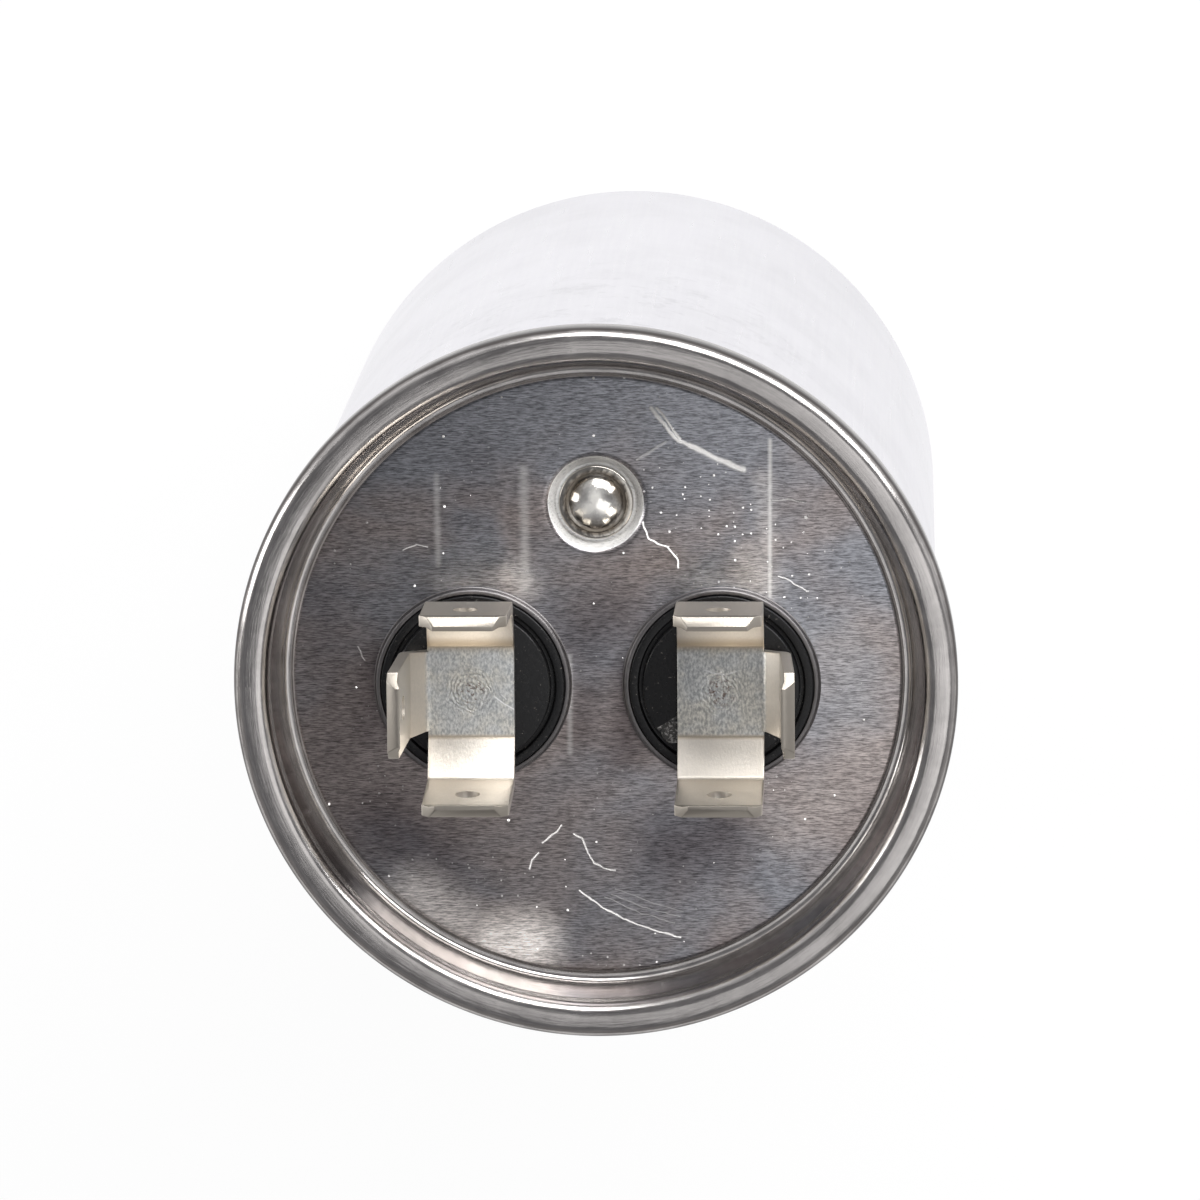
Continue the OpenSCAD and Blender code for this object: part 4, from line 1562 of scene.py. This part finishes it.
@dataclass
class Terminal:
    """A three-way push-on terminal bent from one strip: two end blades and one side blade."""

    levels: Levels
    side: Side
    width: float = 6.35
    sheet: float = STRIP
    plate_l: float = 6.7
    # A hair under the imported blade's length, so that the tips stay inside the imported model's box.
    blade_l: float = 7.745
    end_run: float = 2.9
    side_run: float = 1.2
    rise: float = 1.5
    end_lean: float = 2.8
    side_lean: float = 3.0
    bend_r: float = 0.5
    bend_steps: int = 7
    tip_cut: float = 1.0
    tip_bevel_l: float = 0.47
    tip_t: float = 0.36
    hole_d: float = 1.8
    hole_from_tip: float = 3.7
    edge_round: float = 0.06
    edge_steps: int = 3
    edge_angle: float = 50.0
    root_half: float = 3.0
    near: float = 0.005
    square: float = 0.1
    end_facing: float = 0.8
    end_depth: float = 0.6
    smooth_angle: float = 30.0

    @property
    def middle(self) -> Vector:
        """Middle of the plate's upper face, in millimetres."""
        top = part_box("stud_left")[1].z / MM + STRIP
        return Vector((*self.levels.terminal(self.side), top))

    @property
    def limbs(self) -> tuple[Limb, ...]:
        """The two end limbs and the side limb."""
        outward = 0.0 if self.side is Side.RIGHT else 180.0
        reach, run, lean = self.plate_l / 2, self.end_run, self.end_lean
        return (Limb(90.0, reach, run, lean), Limb(-90.0, reach, run, lean),
                Limb(outward, self.width / 2, self.side_run, self.side_lean))

    def shoulder(self, limb: Limb, from_tip: float) -> Vector:
        """A place on a blade's outer face as (distance, height), counted back from its tip."""
        return Vector((limb.reach + limb.run, self.rise)) + limb.along * (self.blade_l - from_tip)

    def limb_path(self, limb: Limb) -> list[Vector]:
        """Points of a limb's upper face from its first bend to its tip's cut.

        Args:
            limb: The limb.

        Returns:
            The points, as (distance, height).
        """
        return rounded([
            (0, 0),
            (limb.reach, 0, self.bend_r),
            (limb.reach + limb.run, self.rise, self.bend_r),
            tuple(self.shoulder(limb, self.tip_cut)),
        ], self.bend_steps)[1:]

    def bend_back(self, run: float) -> float:
        """How far before its crease an arm's bend begins."""
        return self.bend_r * math.tan(math.atan2(self.rise, run) / 2)

    def build(self) -> bpy.types.Object:
        """Folds the strip, gives it its thickness, tips, holes and rounded edges.

        Returns:
            The terminal.
        """
        strip = self.cut_plate()
        for limb in self.limbs:
            self.extrude_limb(strip, limb)
        edit(strip, False)
        apply_modifier(strip, "SOLIDIFY", thickness=self.sheet * MM, offset=-1.0,
                       use_even_offset=True)
        edit(strip, True)
        for limb in self.limbs:
            self.shape_tip(strip, limb)
        bpy.ops.mesh.select_all(action="SELECT")
        bpy.ops.mesh.normals_make_consistent(inside=False)
        edit(strip, False)
        apply_modifier(strip, "BEVEL", width=self.edge_round * MM, segments=self.edge_steps,
                       limit_method="ANGLE", angle_limit=math.radians(self.edge_angle),
                       use_clamp_overlap=True)
        for limb in self.limbs:
            point = self.middle + limb.point(self.shoulder(limb, self.hole_from_tip))
            way = limb.heading - Vector((0, 0, math.tan(math.radians(limb.lean))))
            drill(strip, point, way, self.hole_d, 4 * self.sheet)
        return settle(strip, [f"terminal_{self.side.word}"], self.smooth_angle)

    def cut_plate(self) -> bpy.types.Object:
        """Cuts the flat plate, narrower where the side limb leaves it.

        Returns:
            The plate, in edit mode.
        """
        middle = self.middle
        half_w, half_l = self.width / 2, self.plate_l / 2 - self.bend_back(self.end_run)
        edge_x = self.side.value * (half_w - self.bend_back(self.side_run))
        deselect()
        bpy.ops.mesh.primitive_plane_add(size=self.width * MM, location=middle * MM)
        strip = bpy.context.object
        strip.name = strip.data.name = f"terminal_strip_{self.side.word}"
        bpy.ops.object.transform_apply(location=True, rotation=True, scale=True)
        edit(strip, True)
        bpy.ops.mesh.select_all(action="SELECT")
        bpy.ops.transform.resize(value=(1.0, half_l / half_w, 1.0), center_override=middle * MM)
        for offset, across in (((0, self.root_half, 0), (0, 1, 0)),
                               ((0, -self.root_half, 0), (0, 1, 0)), ((edge_x, 0, 0), (1, 0, 0))):
            bpy.ops.mesh.select_all(action="SELECT")
            bpy.ops.mesh.bisect(plane_co=(middle + Vector(offset)) * MM, plane_no=across)
        pick(strip, "FACE", lambda at, _: self.side.value * (at.x - middle.x) > abs(edge_x)
             and abs(at.y - middle.y) < self.root_half)
        bpy.ops.mesh.delete(type="FACE")
        return strip

    def extrude(self, step: Vector) -> None:
        """Extrudes the selection by a step in millimetres."""
        bpy.ops.mesh.extrude_region_move(TRANSFORM_OT_translate={"value": step * MM})

    def extrude_limb(self, strip: bpy.types.Object, limb: Limb) -> None:
        """Extrudes one limb from the plate's edge, up to where its tip begins.

        Args:
            strip: The strip in edit mode.
            limb: The limb.
        """
        middle, heading = self.middle, limb.heading
        path = self.limb_path(limb)
        half = self.root_half if limb.is_side else self.width / 2

        def at_root(at: Vector, run_of_edge: Vector) -> bool:
            """Whether an edge is the limb's root."""
            off = at - middle
            on_line = abs(off.dot(heading) - path[0].x) < self.near
            across = abs(run_of_edge.dot(heading)) < self.square
            across = across and abs(off.cross(heading).z) < half
            return on_line and across and abs(off.z) < self.near

        pick(strip, "EDGE", at_root)
        for i, (here, there) in enumerate(zip(path, path[1:])):
            self.extrude(limb.point(there - here))
            if limb.is_side and i == self.bend_steps:
                self.resize(limb, there.x, self.width / 2 / self.root_half)
        last = path[-1] + limb.along * (self.tip_cut - self.tip_bevel_l)
        self.extrude(limb.point(last - path[-1]))
        narrow = (self.width / 2 - self.tip_cut + self.tip_bevel_l) / (self.width / 2)
        self.resize(limb, last.x, narrow)

    def resize(self, limb: Limb, distance: float, factor: float, thin: float = 1.0) -> None:
        """Scales the selection across a limb, and through its thickness.

        Args:
            limb: The limb.
            distance: Distance of the limb's middle plane from the plate's middle.
            factor: Factor across the limb.
            thin: Factor through its thickness.
        """
        value = (thin, factor, 1.0) if limb.is_side else (factor, thin, 1.0)
        about = self.middle + limb.heading * distance
        bpy.ops.transform.resize(value=value, center_override=about * MM)

    def shape_tip(self, strip: bpy.types.Object, limb: Limb) -> None:
        """Extrudes the tapered tip of one blade.

        Args:
            strip: The strip in edit mode.
            limb: The limb.
        """
        middle, along, up = self.middle, limb.along, limb.point(limb.along)
        end = self.shoulder(limb, self.tip_bevel_l)

        def is_end(at: Vector, normal: Vector) -> bool:
            """Whether a face closes the blade's end."""
            off = at - middle
            return (normal.dot(up) > self.end_facing and off.dot(limb.heading) > limb.reach
                    and off.z > end.y - self.end_depth)

        pick(strip, "FACE", is_end)
        self.extrude(up * self.tip_bevel_l)
        core = end + along * self.tip_bevel_l + Vector((-along.y, along.x)) * (self.sheet / 2)
        full = self.width / 2 - self.tip_cut
        self.resize(limb, core.x, full / (full + self.tip_bevel_l), self.tip_t / self.sheet)

    def dress(self, strip: bpy.types.Object, material: bpy.types.Material) -> None:
        """Gives the strip its tin plate."""
        strip.data.materials.append(material)


@dataclass
class FillerPlug:
    """The plated filler plug: flange, dome, stem and spread end."""

    levels: Levels
    flange_r: float = 2.75
    flange_t: float = 0.45
    dome_r: float = 2.25
    dome_h: float = 1.1
    stem_r: float = 1.3
    foot_r: float = 1.9
    foot_l: float = 1.2
    dome_step: float = 0.12
    foot_round: float = 0.1
    under_round: float = 0.08
    flange_round: float = 0.15

    def build(self) -> bpy.types.Object:
        """Turns the plug.

        Returns:
            The plug.
        """
        lv = self.levels
        seat = lv.panel - lv.seat_depth
        top = seat + self.flange_t
        ball = (self.dome_r ** 2 + self.dome_h ** 2) / (2 * self.dome_h)
        low = seat - lv.lid_t - self.foot_l
        start = math.asin(self.dome_r / ball)
        angles = [start * (1 - i / DOME_STEPS) for i in range(DOME_STEPS + 1)]
        dome = [Vector((ball * math.sin(angle), top + self.dome_h - ball + ball * math.cos(angle)))
                for angle in angles]
        outline = rounded([
            (0, low),
            (self.foot_r, low + self.foot_l, self.foot_round),
            (self.stem_r, low + self.foot_l),
            (self.stem_r, seat),
            (self.flange_r, seat, self.under_round),
            (self.flange_r, top, self.flange_round),
            (self.dome_r + self.dome_step, top),
        ], 6) + dome
        plug = turned("plug_body", outline, lv.plug, SMALL_STEPS)
        return settle(plug, ["filler_plug"])

    def dress(self, plug: bpy.types.Object) -> None:
        """Gives the plug its nickel plate."""
        plug.data.materials.append(PolishedNickel(self.levels.plug).material())


@dataclass
class InnerWorks:
    """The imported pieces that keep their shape: what is sealed in the can, and the studs."""

    finishes: tuple[tuple[HiddenFinish, tuple[str, ...]], ...] = (
        (HiddenFinish("seam_rubber", (0.25, 0.42, 0.33), (0.18, 0.33, 0.25), 0.6),
         ("seam_compound",)),
        (HiddenFinish("gasket_rubber", (0.06, 0.06, 0.06), (0.035, 0.035, 0.035), 0.55),
         ("gasket_left", "gasket_right")),
        (HiddenFinish("ivory_moulding", (0.86, 0.85, 0.80), (0.80, 0.78, 0.72), 0.45),
         ("interrupter_disc", "top_spacer", "bottom_cup")),
        (HiddenFinish("wound_film", (0.80, 0.76, 0.66), (0.66, 0.62, 0.54), 0.28, 0.4,
                      (1, 1, 30), 0.2),
         ("film_winding",)),
        (HiddenFinish("core_plastic", (0.9, 0.9, 0.9), (0.82, 0.82, 0.81), 0.5),
         ("core_tube",)),
        (HiddenFinish("wrap_film", (0.82, 0.74, 0.48), (0.74, 0.65, 0.4), 0.2, 0.0,
                      (1, 1, 12), 1.2),
         ("winding_wrap",)),
        (HiddenFinish("sprayed_zinc", (0.5, 0.5, 0.52), (0.36, 0.36, 0.38), 0.6, 0.8,
                      ONE, 0.25, 0.08),
         ("top_end_spray", "bottom_end_spray")),
        (HiddenFinish("tinned_strip", (0.74, 0.72, 0.68), (0.62, 0.6, 0.57), 0.3, 1.0,
                      (6, 1, 1), 0.2),
         ("lead_left", "lead_right")),
        (HiddenFinish("yellow_sleeve", (0.85, 0.65, 0.15), (0.76, 0.55, 0.1), 0.5),
         ("lead_sleeve",)),
        (HiddenFinish("stud_plate", (0.72, 0.71, 0.69), (0.58, 0.57, 0.55), 0.28, 1.0),
         ("stud_left", "stud_right", "stud_washer_left", "stud_washer_right")),
    )

    def dress(self) -> None:
        """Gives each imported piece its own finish."""
        for finish, nodes in self.finishes:
            material = finish.material()
            for name in nodes:
                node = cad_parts[name]
                node.data.materials.clear()
                node.data.materials.append(material)
                log.info("%s: %s", name, finish.name)


# ---------------------------------------------------------------- the studio


@dataclass(frozen=True)
class Lamp:
    """One soft lamp: where it hangs, its width and height in metres, and its power in watts."""

    name: str
    place: Vector3
    size: Point
    power: float

    def hang(self, aim: Vector3) -> None:
        """Hangs the lamp, pointed at a place in metres."""
        data = bpy.data.lights.new(self.name, "AREA")
        data.shape = "RECTANGLE"
        data.size, data.size_y = self.size
        data.energy = self.power
        lamp = bpy.data.objects.new(self.name, data)
        bpy.context.scene.collection.objects.link(lamp)
        lamp.location = self.place
        lamp.rotation_euler = (Vector(aim) - Vector(self.place)).to_track_quat("-Z", "Y").to_euler()


@dataclass
class Studio:
    """A pale floor, soft lamps, a bright surround and the camera."""

    level: float = 80.4
    tilt: float = 11.55
    lean: float = -2.44
    turn: float = 0.5
    offset: Vector3 = (-0.31, -6.08, -512.5)
    lens: float = 210.0
    sensor: float = 36.0
    clip: Point = (0.01, 20.0)
    floor_size: float = 8.0
    floor_drop: float = 0.05
    floor_tint: Colour = (0.95, 0.95, 0.95)
    floor_share: float = 0.94
    bright_side: Vector3 = (0.25, 0.97, 0.0)
    side_span: Point = (-0.6, 0.8)
    ceiling_span: Point = (0.25, 0.85)
    back_wall: Colour = (0.9, 0.9, 0.92)
    front_wall: Colour = (0.3, 0.29, 0.29)
    ceiling: Colour = (0.22, 0.22, 0.23)
    aim: Vector3 = (0.0, 0.0, 0.08)
    lamps: tuple[Lamp, ...] = (
        Lamp("key_softbox", (0.3, 0.92, 0.6), (0.9, 0.5), 13.0),
        Lamp("left_softbox", (-0.85, 0.15, 0.35), (0.3, 0.5), 3.0),
        Lamp("right_softbox", (0.8, 0.6, 0.6), (0.22, 0.5), 4.0),
        Lamp("overhead_card", (0.42, -0.25, 1.25), (0.7, 0.9), 2.2),
    )

    def camera(self) -> None:
        """Sets the camera."""
        view = Matrix.Identity(3)
        for angle, axis in ((self.tilt, "X"), (self.lean, "Y"), (self.turn, "Z")):
            view = view @ Matrix.Rotation(math.radians(angle), 3, axis)
        back = view.transposed()
        place = back @ -Vector(self.offset) + Vector((0, 0, self.level))
        data = bpy.data.cameras.new("camera")
        data.lens, data.sensor_width = self.lens, self.sensor
        data.clip_start, data.clip_end = self.clip
        camera = bpy.data.objects.new("camera", data)
        bpy.context.scene.collection.objects.link(camera)
        camera.matrix_world = Matrix.Translation(place * MM) @ back.to_4x4()
        bpy.context.scene.camera = camera

    def floor(self) -> None:
        """Lays the floor, which is near white wherever the camera or a gloss sees it."""
        deselect()
        bpy.ops.mesh.primitive_plane_add(size=self.floor_size,
                                         location=(0.0, 0.0, -self.floor_drop * MM))
        floor = bpy.context.object
        floor.name = "floor"
        material = bpy.data.materials.new("pale_floor")
        material.use_nodes = True
        tree = Tree(material.node_tree)
        tree.nodes.clear()
        rays = tree.node("ShaderNodeLightPath").outputs
        seen = tree.math("MAXIMUM", rays["Is Camera Ray"], rays["Is Glossy Ray"])
        diffuse = tree.node("ShaderNodeBsdfDiffuse")
        diffuse.inputs["Color"].default_value = (*self.floor_tint, 1.0)
        glow = tree.node("ShaderNodeEmission")
        glow.inputs["Color"].default_value = (*ONE, 1.0)
        mix = tree.step(tree.node("ShaderNodeMixShader"), (
            tree.times(seen, self.floor_share), diffuse.outputs[0], glow.outputs[0]))
        tree.step(tree.node("ShaderNodeOutputMaterial"), (mix.outputs[0],))
        floor.data.materials.append(material)

    def surround(self) -> None:
        """Sets the world: white to the camera, bright behind the part, grey before and above it."""
        world = bpy.data.worlds.new("surround")
        bpy.context.scene.world = world
        world.use_nodes = True
        tree = Tree(world.node_tree)
        tree.nodes.clear()
        way = tree.node("ShaderNodeTexCoord").outputs["Generated"]
        side = tree.spread(tree.vector("DOT_PRODUCT", way, self.bright_side), *self.side_span)
        overhead = tree.spread(tree.axis(way, "Z"), *self.ceiling_span)
        walls = tree.blend(side, self.front_wall, self.back_wall)
        room = tree.blend(overhead, walls, self.ceiling)
        seen = tree.blend(tree.node("ShaderNodeLightPath").outputs["Is Camera Ray"], room, ONE)
        background = tree.step(tree.node("ShaderNodeBackground"), (seen,))
        tree.step(tree.node("ShaderNodeOutputWorld"), (background.outputs[0],))

    def build(self) -> None:
        """Sets up the whole studio."""
        bpy.context.scene.view_settings.view_transform = "Standard"
        self.camera()
        self.floor()
        self.surround()
        for lamp in self.lamps:
            lamp.hang(self.aim)


def main() -> None:
    """Builds every piece, dresses it and sets up the studio."""
    levels = Levels()
    Studio().build()
    can, lid, plug = CanShell(levels), Lid(levels), FillerPlug(levels)
    can.dress(can.build())
    lid.dress(lid.build())
    plug.dress(plug.build())
    black, torn = MouldedBlack().material(), TORN_GATE.material()
    for side in Side:
        insulator = Insulator(levels, side)
        insulator.dress(insulator.build(), black, torn)
    for side in Side:
        terminal = Terminal(levels, side)
        tin = TinPlate(levels.terminal(side), PLATE_MARKS[side])
        terminal.dress(terminal.build(), tin.material(f"tin_plate_{side.word}"))
    InnerWorks().dress()


if __name__ == "__main__":
    main()
